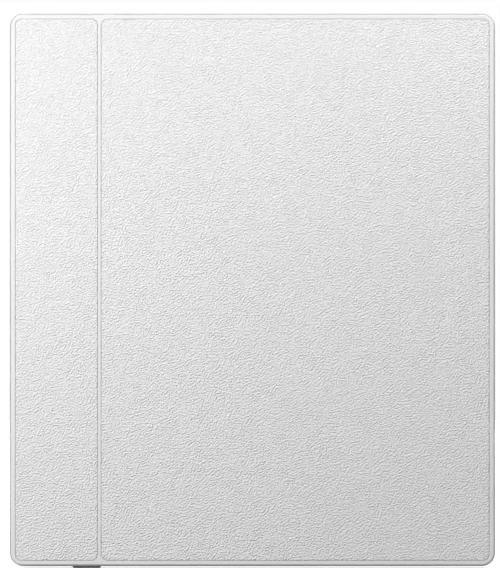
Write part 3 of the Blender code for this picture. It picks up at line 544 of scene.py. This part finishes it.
def page(g):
    """An electronic-paper page: plain bars for lines of type, and how far a point lies outside the screen."""
    left = PANEL_LOW.x / MM + PANEL_BORDER / MM
    width, height = ACTIVE_WIDTH / MM, ACTIVE_HEIGHT / MM
    middle = (PANEL_LOW.z + PANEL_HIGH.z) / 2 / MM
    x, _, z = g.split()
    across = g.math("SUBTRACT", x, left + PAGE_MARGIN)
    down = g.math("SUBTRACT", middle + height / 2 - PAGE_MARGIN - PAGE_SPACE, z)
    line = g.math("DIVIDE", down, LINE_PITCH)
    row = g.math("FLOOR", line)
    band = g.between(g.math("FRACT", line), *INK_BAND)
    # Rows are whole numbers, so each is told from the next at the half between them.
    number = g.math("MODULO", g.math("ADD", row, PARAGRAPH * PARAGRAPHS_ABOVE), PARAGRAPH)
    first = g.math("LESS_THAN", number, 0.5)
    last = g.math("GREATER_THAN", number, PARAGRAPH - 1.5)
    gaps = g.nodes.new("ShaderNodeTexVoronoi")
    gaps.voronoi_dimensions = "1D"
    gaps.feature = "DISTANCE_TO_EDGE"
    gaps.inputs["Scale"].default_value = 1.0
    gaps.inputs["Randomness"].default_value = WORD_UNEVENNESS
    shift = g.math("MULTIPLY", row, ROW_SHIFT)
    g.put(gaps.inputs["W"], g.math("ADD", g.math("MULTIPLY", across, WORD_SCALE), shift))
    words = g.math("GREATER_THAN", gaps.outputs["Distance"], WORD_GAP)
    full = width - 2 * PAGE_MARGIN
    end = g.math("SUBTRACT", full, g.math("MULTIPLY", last, full * LAST_LINE_CUT))
    start = g.math("MULTIPLY", first, INDENT)
    ink = g.math("MULTIPLY", g.math("MULTIPLY", band, words), g.between(across, start, end))
    ink = g.math("MULTIPLY", ink, g.between(row, -0.5, LINES - 0.5))
    # A short heading bar, and a progress line at the foot
    title = g.between(across, full / 2 - HEADING_REACH, full / 2 + HEADING_REACH)
    heading = g.math("MULTIPLY", g.between(down, *HEADING_LEVELS), title)
    foot = LINE_PITCH * LINES + PAGE_SPACE
    done = g.between(across, 0, full * PROGRESS)
    thick = g.math("MULTIPLY", g.between(down, foot - PROGRESS_REACH, foot + PROGRESS_REACH), done)
    track = g.between(across, 0, full)
    thin = g.math("MULTIPLY", g.between(down, foot - TRACK_REACH, foot + TRACK_REACH), track)
    ink = g.math("MAXIMUM", ink, g.math("MAXIMUM", heading, g.math("MAXIMUM", thick, thin)))
    aside = g.math("SUBTRACT", g.math("ABSOLUTE", g.math("SUBTRACT", x, left + width / 2)), width / 2)
    above = g.math("SUBTRACT", g.math("ABSOLUTE", g.math("SUBTRACT", z, middle)), height / 2)
    outside = g.math("MAXIMUM", aside, above)
    paper = g.mix(g.noise(scale=6.0, detail=1.0), *PAPER)
    return g.mix(ink, paper, INK), outside


def epaper(name, border, gloss):
    """A page inside the screen's edge and a border colour around it, with a dark line of painted shade along
    the screen's edge.
    """
    g = Graph(name)
    shown, outside = page(g)
    # A dark line along the screen's edge is painted shade, as if the lens's mask shaded the sunken page.
    step = g.math("LESS_THAN", g.math("ABSOLUTE", outside), SCREEN_SHADE_LINE)
    around = g.mix(g.noise(scale=0.04), border, tuple(BORDER_TONE * c for c in border))
    colour = g.mix(g.math("GREATER_THAN", outside, 0.0), shown, around)
    etched = g.noise(scale=8.0)
    g.set(
        Base_Color=g.mix(step, colour, grey(0.30)),
        Roughness=g.spread(etched, *NOISE_SPAN, to_low=0.48, to_high=0.56),
        Normal=g.bump(etched, 0.002 * MM),
        Specular_IOR_Level=0.3,
        Coat_Weight=gloss,
        Coat_Roughness=0.1,
    )
    return g.material


def usb_plastic():
    """Black moulding with two rows of gilt contacts across the tongue."""
    g = Graph("usb_tongue_black")
    x, _, z = g.split()
    # Half a pitch is added so that one contact lies in the middle.
    stripe = g.between(g.math("FRACT", g.math("ADD", g.math("DIVIDE", z, CONTACT_PITCH), 0.5)), *CONTACT_BAND)
    across = g.math("LESS_THAN", g.math("ABSOLUTE", z), CONTACT_ROW)
    along = g.math("MULTIPLY", g.between(x, *CONTACT_RUN), across)
    gilt = g.math("MULTIPLY", stripe, along)
    grain = g.noise(scale=7.0)
    black = g.mix(grain, (0.02, 0.02, 0.022), (0.04, 0.04, 0.042))
    g.set(
        Base_Color=g.mix(gilt, black, GILT),
        Metallic=gilt,
        Roughness=g.spread(grain, *NOISE_SPAN, to_low=0.35, to_high=0.5),
        Normal=g.bump(grain, 0.006 * MM),
    )
    return g.material


def circuit_board():
    """Dark solder mask over fine tracks, with small tinned pads."""
    g = Graph("circuit_board")
    track = g.cells(scale=0.9, feature="DISTANCE_TO_EDGE", source=g.stretch((1.0, 0.2, 1.0)))
    line = g.spread(track, 0.03, 0.06, to_low=1.0, to_high=0.0)
    pads = g.math("LESS_THAN", g.cells(scale=1.3), 0.13)
    mask = g.mix(g.noise(scale=0.2), (0.012, 0.05, 0.03), (0.016, 0.065, 0.04))
    over_track, tin = (0.03, 0.11, 0.06), (0.72, 0.70, 0.66)
    g.set(
        Base_Color=g.mix(pads, g.mix(line, mask, over_track), tin),
        Metallic=pads,
        Roughness=g.spread(line, 0, 1, to_low=0.38, to_high=0.30),
        Normal=g.bump(g.math("MAXIMUM", line, pads), 0.02 * MM),
    )
    return g.material


def woven(name, dark, light, pitch, relief):
    """A fine plain weave on the plane of an edge, with its pitch and relief in millimetres."""
    g = Graph(name)
    _, y, z = g.split()
    turns = 2 * math.pi / pitch
    over = g.math("SINE", g.math("MULTIPLY", y, turns))
    under = g.math("SINE", g.math("MULTIPLY", z, turns))
    height = g.spread(g.math("MULTIPLY", over, under), -1, 1)
    g.set(
        Base_Color=g.mix(height, dark, light),
        Roughness=g.spread(height, 0, 1, to_low=0.8, to_high=0.55),
        Normal=g.bump(height, relief * MM),
    )
    return g.material


def slot_materials():
    """A material for each of the record's material slots."""
    return {
        "case_white": case_white(),
        "inlay_grain": inlay_grain(),
        "lens_white": epaper("lens_print", border=grey(0.80), gloss=0.8),
        "key_white": surface(
            "key_satin", grey(0.77), grey(0.80), rough=(0.32, 0.42), scale=5.0, relief=0.006, specular=0.45,
        ),
        "tray_white": surface(
            "tray_satin", grey(0.76), grey(0.80), rough=(0.40, 0.50), scale=4.0, relief=0.006,
        ),
        "dark_metal": surface(
            "button_anodised", (0.04, 0.04, 0.042), (0.065, 0.065, 0.068),
            rough=(0.34, 0.46), scale=7.0, relief=0.006, metallic=0.9, stretch=(0.15, 1, 1),
        ),
        "frame_metal": surface(
            "cast_magnesium", (0.40, 0.41, 0.42), (0.52, 0.53, 0.54),
            rough=(0.45, 0.62), scale=3.0, relief=0.03, metallic=1.0,
        ),
        "spacer_plastic": surface(
            "spacer_moulded", (0.72, 0.72, 0.71), (0.78, 0.78, 0.77),
            rough=(0.5, 0.6), scale=3.0, relief=0.01,
        ),
        "epaper": epaper("epaper_page", border=(0.52, 0.53, 0.52), gloss=0.0),
        "light_guide": surface(
            "guide_film", (0.80, 0.84, 0.86), (0.86, 0.89, 0.91),
            rough=(0.12, 0.2), scale=4.0, relief=0.004, coat=0.6,
        ),
        "touch_film": surface(
            "sensor_film", (0.74, 0.79, 0.82), (0.80, 0.84, 0.86),
            rough=(0.1, 0.18), scale=6.0, relief=0.003, coat=0.6,
        ),
        "flex_film": surface(
            "polyimide", (0.36, 0.16, 0.03), (0.50, 0.25, 0.05),
            rough=(0.25, 0.38), scale=1.2, relief=0.02, stretch=(0.3, 1, 4), specular=0.6,
        ),
        "black_plastic": surface(
            "black_moulded", (0.02, 0.02, 0.022), (0.04, 0.04, 0.042),
            rough=(0.4, 0.55), scale=5.0, relief=0.012,
        ),
        "stamped_steel": surface(
            "stamped_steel", (0.52, 0.52, 0.52), (0.66, 0.66, 0.65),
            rough=(0.2, 0.34), scale=4.0, relief=0.008, metallic=1.0, stretch=(0.2, 1, 1),
        ),
        "screw_steel": surface(
            "screw_zinc", (0.22, 0.22, 0.23), (0.34, 0.34, 0.35),
            rough=(0.28, 0.42), scale=8.0, relief=0.01, metallic=1.0,
        ),
        "circuit_board": circuit_board(),
        "chip_package": surface(
            "chip_epoxy", (0.022, 0.022, 0.024), (0.038, 0.038, 0.04),
            rough=(0.5, 0.66), scale=9.0, relief=0.01,
        ),
        "battery_pouch": surface(
            "pouch_foil", (0.30, 0.31, 0.32), (0.42, 0.43, 0.44),
            rough=(0.32, 0.5), scale=0.7, relief=0.12, metallic=0.6,
        ),
        "wire_sleeve": surface(
            "wire_pvc", (0.30, 0.02, 0.02), (0.42, 0.03, 0.03),
            rough=(0.35, 0.5), scale=4.0, relief=0.01,
        ),
        "magnet": surface(
            "magnet_nickel", (0.42, 0.41, 0.39), (0.56, 0.55, 0.52),
            rough=(0.16, 0.28), scale=6.0, relief=0.006, metallic=1.0,
        ),
        "sound_mesh": woven(
            "sound_mesh", (0.02, 0.02, 0.022), (0.044, 0.044, 0.0484), pitch=0.22, relief=0.06,
        ),
    }


# ---------------------------------------------------------------- outer pieces


def inlay_boxes():
    """Low and high corners of each inlay's recess in the cover, a groove's width outside the inlay."""
    reach = Vector((GROOVE, 0, GROOVE))
    found = {}
    for node in ("grip_inlay", "main_inlay"):
        low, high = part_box(node)
        found[node] = (low - reach, high + reach)
    return found


def make_case(white):
    """The white shell with its seam, open at the front, with a recess for each inlay."""
    half = CASE_SIZE.y / 2
    front = fillet(FRONT_FILLET, -half, -1, steps=5)[::-1]
    seam = half - SEAM_DEPTH
    lip = [(0.0, seam - SEAM_EDGE), (SEAM_EDGE, seam), (SEAM_LIP, seam)]
    gap = [(SEAM_LIP, seam - SEAM_GAP_DEPTH), (SEAM_INSET, seam - SEAM_GAP_DEPTH)]
    back = lip + gap + fillet(BACK_FILLET, half, 1, steps=6, start=SEAM_INSET + DRAFT)
    mesh = loft(front + back, CASE_SIZE.x, CASE_SIZE.z, CORNER_RADIUS, segments=16)
    case = piece("case_shell", mesh, CASE_MIDDLE)
    cavity = loft(
        [(0, 0), (0, CASE_SIZE.y)],
        CASE_SIZE.x - 2 * WALL, CASE_SIZE.z - 2 * WALL, CAVITY_RADIUS, segments=8,
    )
    floor_y = BACK_Y - FLOOR_DEPTH
    tools = [(cavity, (CASE_MIDDLE.x, floor_y - CASE_SIZE.y, CASE_MIDDLE.z))]
    pocket = loft(
        [(0, FRONT_Y - 2 * CUT_PAST), (0, LENS_HIGH.y + BOND_GAP)],
        CASE_SIZE.x - 2 * LENS_RIM, CASE_SIZE.z - 2 * LENS_RIM, CORNER_RADIUS - LENS_RIM, segments=16,
    )
    tools.append((pocket, (CASE_MIDDLE.x, 0, CASE_MIDDLE.z)))
    for low, high in inlay_boxes().values():
        size = high - low
        rings = [(0, BACK_Y - RECESS_DEPTH)] + flare(MOUTH_FILLET, BACK_Y, 1, steps=4)
        recess = loft(rings, size.x, size.z, RECESS_RADIUS, segments=12)
        tools.append((recess, ((low.x + high.x) / 2, 0, (low.z + high.z) / 2)))
    carve(case, tools)
    carve(case, edge_mouths())
    finish_shading(case)
    stands_for(case, "back_cover", "casing", white)


def edge_mouths():
    """Openings in the grip edge and the lower edge, with rounded mouths."""
    mouths = []
    edge = CASE_HIGH.x
    deep = edge - MOUTH_DEPTH
    low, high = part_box("usb_c_shell")
    usb = (high.y - low.y + 2 * USB_GAP, high.z - low.z + 2 * USB_GAP, (low.z + high.z) / 2)
    low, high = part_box("card_tray")
    tray = (TRAY_FACE[1] + GROOVE, TRAY_FACE[2] + GROOVE, (low.z + high.z) / 2)
    for depth, height, middle in (usb, tray):
        rings = [(0, deep)] + flare(MOUTH_FILLET, edge, 1)
        mouths.append((loft(rings, depth, height, depth / 2, segments=12, axis="X"), (0, MID_Y, middle)))
    low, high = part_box("power_button")
    foot = CASE_LOW.z
    width, depth = (side + 2 * GROOVE for side in BUTTON_SIZE)
    rings = [(0, foot + MOUTH_DEPTH)] + flare(MOUTH_FILLET, foot, -1)
    place = ((low.x + high.x) / 2, MID_Y, 0)
    mouths.append((loft(rings, width, depth, depth / 2, segments=12, axis="Z"), place))
    mouths.append((round_cutter(MIC_RADIUS, deep, edge, HOLE_FLARE), (0, MID_Y, foot + MIC_HEIGHT)))
    for number in range(SPEAKER_HOLES):
        height = foot + SPEAKER_HEIGHT + (number - (SPEAKER_HOLES - 1) / 2) * SPEAKER_PITCH
        mouths.append((round_cutter(SPEAKER_RADIUS, deep, edge, HOLE_FLARE), (0, MID_Y, height)))
    return mouths


def grade(low, high, pitch, rows):
    """Levels from low to high at an even pitch, closer together in rows near both ends."""
    middle = np.linspace(low + rows[-1], high - rows[-1], int(round((high - low - 2 * rows[-1]) / pitch)) + 1)
    start = [low + r for r in rows[:-1]]
    end = [high - r for r in reversed(rows[:-1])]
    return np.array([*start, *middle, *end])


def swell(x, z):
    """The slow unevenness of an inlay at a place, from -1 to 1."""
    increment, lacunarity, octaves = SWELL_SHAPE
    place = (x / MM * SWELL_SCALE, SWELL_SLICE, z / MM * SWELL_SCALE)
    return noise.fractal(place, increment, lacunarity, octaves)


def make_inlay(node, material):
    """A grained panel: gently uneven, with edges that roll down into the groove around it."""
    low, high = inlay_boxes()[node]
    x0, x1, z0, z1 = low.x + INLAY_GAP, high.x - INLAY_GAP, low.z + INLAY_GAP, high.z - INLAY_GAP
    radius = EDGE_ROWS[-1]
    xs = grade(x0, x1, INLAY_PITCH, EDGE_ROWS)
    zs = grade(z0, z1, INLAY_PITCH, EDGE_ROWS)
    x, z = (a.ravel() for a in np.meshgrid(xs, zs))
    # In a corner square, distance from its inner corner becomes distance from the arc's centre.
    cx = np.clip(x, x0 + radius, x1 - radius)
    cz = np.clip(z, z0 + radius, z1 - radius)
    a, b = x - cx, z - cz
    reach = np.maximum(np.abs(a), np.abs(b))
    length = np.hypot(a, b)
    scale = np.where(length > 0, reach / np.maximum(length, np.finfo(float).tiny), 1.0)
    x, z = cx + a * scale, cz + b * scale
    inside = radius - reach
    roll = np.clip((EDGE_ROLL[1] - inside) / (EDGE_ROLL[1] - EDGE_ROLL[0]), 0, 1)
    drop = EDGE_DROP * roll**2 * (3 - 2 * roll)
    fade = np.clip((inside - EDGE_ROLL[1]) / RELIEF_FADE, 0, 1)
    uneven = np.array([swell(px, pz) for px, pz in zip(x, z)])
    steady, swelling = RELIEF_SHARES
    y = BACK_Y - drop - RELIEF * fade * (steady + swelling * np.clip(uneven, -1, 1))
    columns, rows = len(xs), len(zs)
    index = np.arange(columns * rows).reshape(rows, columns)
    quads = np.stack([index[:-1, :-1], index[1:, :-1], index[1:, 1:], index[:-1, 1:]], -1).reshape(-1, 4)
    rim = np.concatenate([index[0, :], index[1:, -1], index[-1, -2::-1], index[-2:0:-1, 0]])
    below = columns * rows + np.arange(len(rim))
    bottom = np.full(len(rim), BACK_Y - INLAY_THICKNESS)
    verts = np.concatenate([np.stack([x, y, z], 1), np.stack([x[rim], bottom, z[rim]], 1)])
    walls = np.stack([rim, np.roll(rim, -1), np.roll(below, -1), below], 1)
    faces = quads.tolist() + walls.tolist() + [below[::-1].tolist()]
    mesh = bpy.data.meshes.new(node + "_skin")
    mesh.from_pydata(verts.tolist(), [], faces)
    bm = bmesh.new()
    bm.from_mesh(mesh)
    bmesh.ops.recalc_face_normals(bm, faces=bm.faces)
    bm.to_mesh(mesh)
    bm.free()
    mesh.shade_smooth()
    mesh.set_sharp_from_angle(angle=math.radians(INLAY_SHARP_ANGLE))
    skin = piece(node + "_skin", mesh)
    stands_for(skin, node, "casing", material)


def make_lens(material):
    """The flush front lens, with an opening around each page key."""
    size = LENS_HIGH - LENS_LOW
    rings = [(0, LENS_HIGH.y)] + fillet(LENS_EDGE, LENS_LOW.y, -1, steps=3)
    middle = (LENS_LOW + LENS_HIGH) / 2
    lens = piece("front_lens", loft(rings, size.x, size.z, LENS_RADIUS, segments=16), (middle.x, 0, middle.z))
    tools = []
    for side in ("upper", "lower"):
        low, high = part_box(side + "_page_key")
        rings = [(0, LENS_HIGH.y + CUT_PAST)] + flare(LENS_EDGE, LENS_LOW.y, -1)
        width, length = KEY_WIDTH + 2 * KEY_GAP, KEY_LENGTH + 2 * KEY_GAP
        place = ((low.x + high.x) / 2, 0, (low.z + high.z) / 2)
        tools.append((loft(rings, width, length, width / 2, segments=12), place))
    carve(lens, tools)
    lens.data.transform(Matrix.Translation(lens.location))
    lens.location = (0, 0, 0)
    finish_shading(lens)
    stands_for(lens, "cover_lens", "casing", material)


def make_page_key(side, material):
    """A long pill-shaped key with a shallow dish, and a flange behind the lens."""
    node = side + "_page_key"
    low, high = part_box(node)
    front, back = low.y, high.y
    stem = KEY_WIDTH / 2 - KEY_STEM
    flange_front, flange_back = KEY_FLANGE_LEVELS
    rings = [(stem, back), (stem, flange_back)]
    rings += [(-KEY_FLANGE, flange_back), (-KEY_FLANGE, flange_front), (0, flange_front)]
    rings += fillet(KEY_EDGE, front, -1, steps=5)
    rings += [(inset, front + sunk) for inset, sunk in KEY_DISH]
    place = ((low.x + high.x) / 2, 0, (low.z + high.z) / 2)
    key = piece(node + "_cap", loft(rings, KEY_WIDTH, KEY_LENGTH, KEY_WIDTH / 2, segments=16), place)
    finish_shading(key)
    stands_for(key, node, node, material)


def make_power_button(material):
    """The button's slightly dished foot, and the flange that keeps it in the casing."""
    low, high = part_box("power_button")
    width, depth = BUTTON_SIZE
    wide, deep, thick = BUTTON_FLANGE
    rings = [(0, high.z - thick / 2)] + fillet(BUTTON_EDGE, low.z, -1, steps=4)
    rings += [(inset, low.z + sunk) for inset, sunk in BUTTON_DISH]
    place = ((low.x + high.x) / 2, MID_Y, 0)
    cap = loft(rings, width, depth, depth / 2, segments=12, axis="Z")
    button = piece("power_button_cap", cap, place)
    flange = loft([(0, high.z - thick), (0, high.z)], wide, deep, BUTTON_FLANGE_RADIUS, segments=4, axis="Z")
    carve(button, [(flange, place)], "UNION")
    finish_shading(button)
    stands_for(button, "power_button", "power_button", material)


def make_card_tray(material):
    """The tray's face, flush with the grip edge, and the open plate that carries a memory card."""
    low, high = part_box("card_tray")
    edge, middle = high.x, (low.z + high.z) / 2
    reach, depth, height = TRAY_FACE
    rings = [(0, edge - reach)] + fillet(TRAY_EDGE, edge, 1, steps=3)
    face = loft(rings, depth, height, depth / 2, segments=12, axis="X")
    tray = piece("memory_tray", face, (0, MID_Y, middle))
    plate_x = edge - reach / 2 - TRAY_PLATE[0] / 2
    front, back = TRAY_LEVELS
    plate = [(PLATE_EDGE, front), (0, front + PLATE_EDGE), (0, back - PLATE_EDGE), (PLATE_EDGE, back)]
    carve(tray, [(loft(plate, *TRAY_PLATE, PLATE_RADIUS, segments=6), (plate_x, 0, middle))], "UNION")
    card_x = plate_x - TRAY_PLATE[0] / 2 + CARD_MARGIN + CARD[0] / 2
    pocket = loft([(0, front + POCKET_FLOOR), (0, back + CUT_PAST)], *CARD, CARD_RADIUS, segments=4)
    window = loft(
        [(WINDOW_INSET, -CUT_PAST), (WINDOW_INSET, 2 * CUT_PAST)], *CARD, WINDOW_RADIUS, segments=4
    )
    pin = round_cutter(PIN_RADIUS, edge - PIN_DEPTH, edge, PIN_FLARE)
    places = ((card_x, 0, middle), (card_x, 0, middle), (0, MID_Y, middle + PIN_OFFSET))
    carve(tray, list(zip((pocket, window, pin), places)))
    finish_shading(tray)
    stands_for(tray, "card_tray", "card_tray", material)


def make_usb_port(metal, plastic):
    """The port's rolled shell, and the tongue on its base inside it."""
    low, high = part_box("usb_c_shell")
    middle = (low + high) / 2
    place = (0, middle.y, middle.z)
    depth, height = high.y - low.y, high.z - low.z
    rings = [(0, low.x)] + fillet(USB_LIP, high.x, 1, steps=3)
    shell = piece("usb_shell", loft(rings, depth, height, depth / 2, segments=12, axis="X"), place)
    inner_depth, inner_height = depth - 2 * USB_WALL, height - 2 * USB_WALL
    rings = [(0, low.x + USB_BACK)] + flare(USB_LIP, high.x, 1)
    bore = loft(rings, inner_depth, inner_height, inner_depth / 2, segments=12, axis="X")
    carve(shell, [(bore, place)])
    finish_shading(shell)
    stands_for(shell, "usb_c_shell", "casing", metal)
    low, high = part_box("usb_c_tongue")
    length, thick, wide = TONGUE_SIZE
    half = thick / 2
    blade = [(TONGUE_EDGE, -half), (0, TONGUE_EDGE - half), (0, half - TONGUE_EDGE), (TONGUE_EDGE, half)]
    blade_mesh = loft(blade, length, wide, TONGUE_RADIUS, segments=5)
    tongue = piece("usb_tongue", blade_mesh, (high.x - length / 2, middle.y, middle.z))
    base_depth, base_height = high.y - low.y, high.z - low.z
    rings = [(0, low.x), (0, low.x + TONGUE_BASE)]
    base = loft(rings, base_depth, base_height, base_depth / 2, segments=8, axis="X")
    carve(tongue, [(base, place)], "UNION")
    finish_shading(tongue)
    stands_for(tongue, "usb_c_tongue", "casing", plastic)


def finish_inside(materials):
    """Every node that is still the CAD's own takes its slot's material."""
    for row in frame["record"]["subparts"]:
        for held in frame["nodes"][row["node"]].material_slots:
            held.material = materials[row["material_slot"]]


# ---------------------------------------------------------------- stage


def make_camera():
    """Squarely behind the reader, from far off with a long lens."""
    data = bpy.data.cameras.new("camera")
    data.lens = LENS_LENGTH
    data.sensor_width = SENSOR
    data.clip_start = CLIP_START
    camera = bpy.data.objects.new("camera", data)
    COLLECTION.objects.link(camera)
    distance = VIEW_HEIGHT * LENS_LENGTH / SENSOR
    widest = CASE_HIGH.y - SEAM_DEPTH
    camera.location = (AIM_OFFSET[0], widest + distance, CASE_MIDDLE.z + AIM_OFFSET[1])
    camera.rotation_euler = (math.pi / 2, 0, math.pi)
    bpy.context.scene.camera = camera


def make_light(name, aim, offset, size, power):
    data = bpy.data.lights.new(name, "AREA")
    data.shape = "RECTANGLE"
    data.size, data.size_y = (side * MM for side in size)
    data.energy = power
    light = bpy.data.objects.new(name, data)
    light.location = aim + offset
    light.rotation_euler = offset.to_track_quat("Z", "Y").to_euler()
    light.visible_camera = False
    COLLECTION.objects.link(light)


def make_floor():
    """A pale floor that glows more with distance, until it is as white as the surround."""
    floor = bpy.data.meshes.new("floor")
    bm = bmesh.new()
    bmesh.ops.create_grid(bm, x_segments=1, y_segments=1, size=FLOOR_SIZE)
    bm.to_mesh(floor)
    bm.free()
    ground = piece("floor", floor, (0, 0, cad_box[0][2]))
    ground.visible_diffuse = False
    g = Graph("floor_white")
    away = g.nodes.new("ShaderNodeVectorMath")
    away.operation = "LENGTH"
    g.put(away.inputs[0], g.place)
    distances, strengths = FLOOR_GLOW
    glow = g.spread(away.outputs["Value"], *distances, *strengths, smooth=True)
    g.set(
        Base_Color=grey(0.86),
        Roughness=0.9,
        Emission_Strength=glow,
        Emission_Color=grey(1.0),
        Specular_IOR_Level=0.0,
    )
    floor.materials.append(g.material)


def make_surround():
    """A soft dome, brighter above and on the grip side, and plain white where the camera sees it."""
    world = bpy.data.worlds.new("surround")
    bpy.context.scene.world = world
    world.use_nodes = True
    nodes = world.node_tree.nodes
    links = world.node_tree.links
    background = nodes["Background"]
    background.inputs["Color"].default_value = (1, 1, 1, 1)
    place = nodes.new("ShaderNodeTexCoord")
    slope = nodes.new("ShaderNodeVectorMath")
    slope.operation = "DOT_PRODUCT"
    slope.inputs[1].default_value = DOME_SLOPE
    links.new(place.outputs["Generated"], slope.inputs[0])
    dome = nodes.new("ShaderNodeMath")
    dome.operation = "ADD"
    dome.inputs[1].default_value = DOME_LEVEL
    links.new(slope.outputs["Value"], dome.inputs[0])
    path = nodes.new("ShaderNodeLightPath")
    seen = nodes.new("ShaderNodeMath")
    seen.operation = "MAXIMUM"
    links.new(path.outputs["Is Camera Ray"], seen.inputs[0])
    links.new(dome.outputs[0], seen.inputs[1])
    links.new(seen.outputs[0], background.inputs["Strength"])


def make_stage():
    """The floor, the surround, and soft lamps behind and in front of the reader."""
    make_floor()
    make_surround()
    bpy.context.scene.view_settings.view_transform = "Standard"
    back = Vector((CASE_MIDDLE.x, BACK_Y, CASE_MIDDLE.z))
    for name, offset, size, power in LAMPS:
        make_light(name, back, Vector(offset) * MM, size, power)


make_camera()
make_stage()
finishes = slot_materials()
finish_inside(finishes)
make_case(finishes["case_white"])
for inlay in ("grip_inlay", "main_inlay"):
    make_inlay(inlay, finishes["inlay_grain"])
make_lens(finishes["lens_white"])
for key_side in ("upper", "lower"):
    make_page_key(key_side, finishes["key_white"])
make_power_button(finishes["dark_metal"])
make_card_tray(finishes["tray_white"])
make_usb_port(finishes["stamped_steel"], usb_plastic())
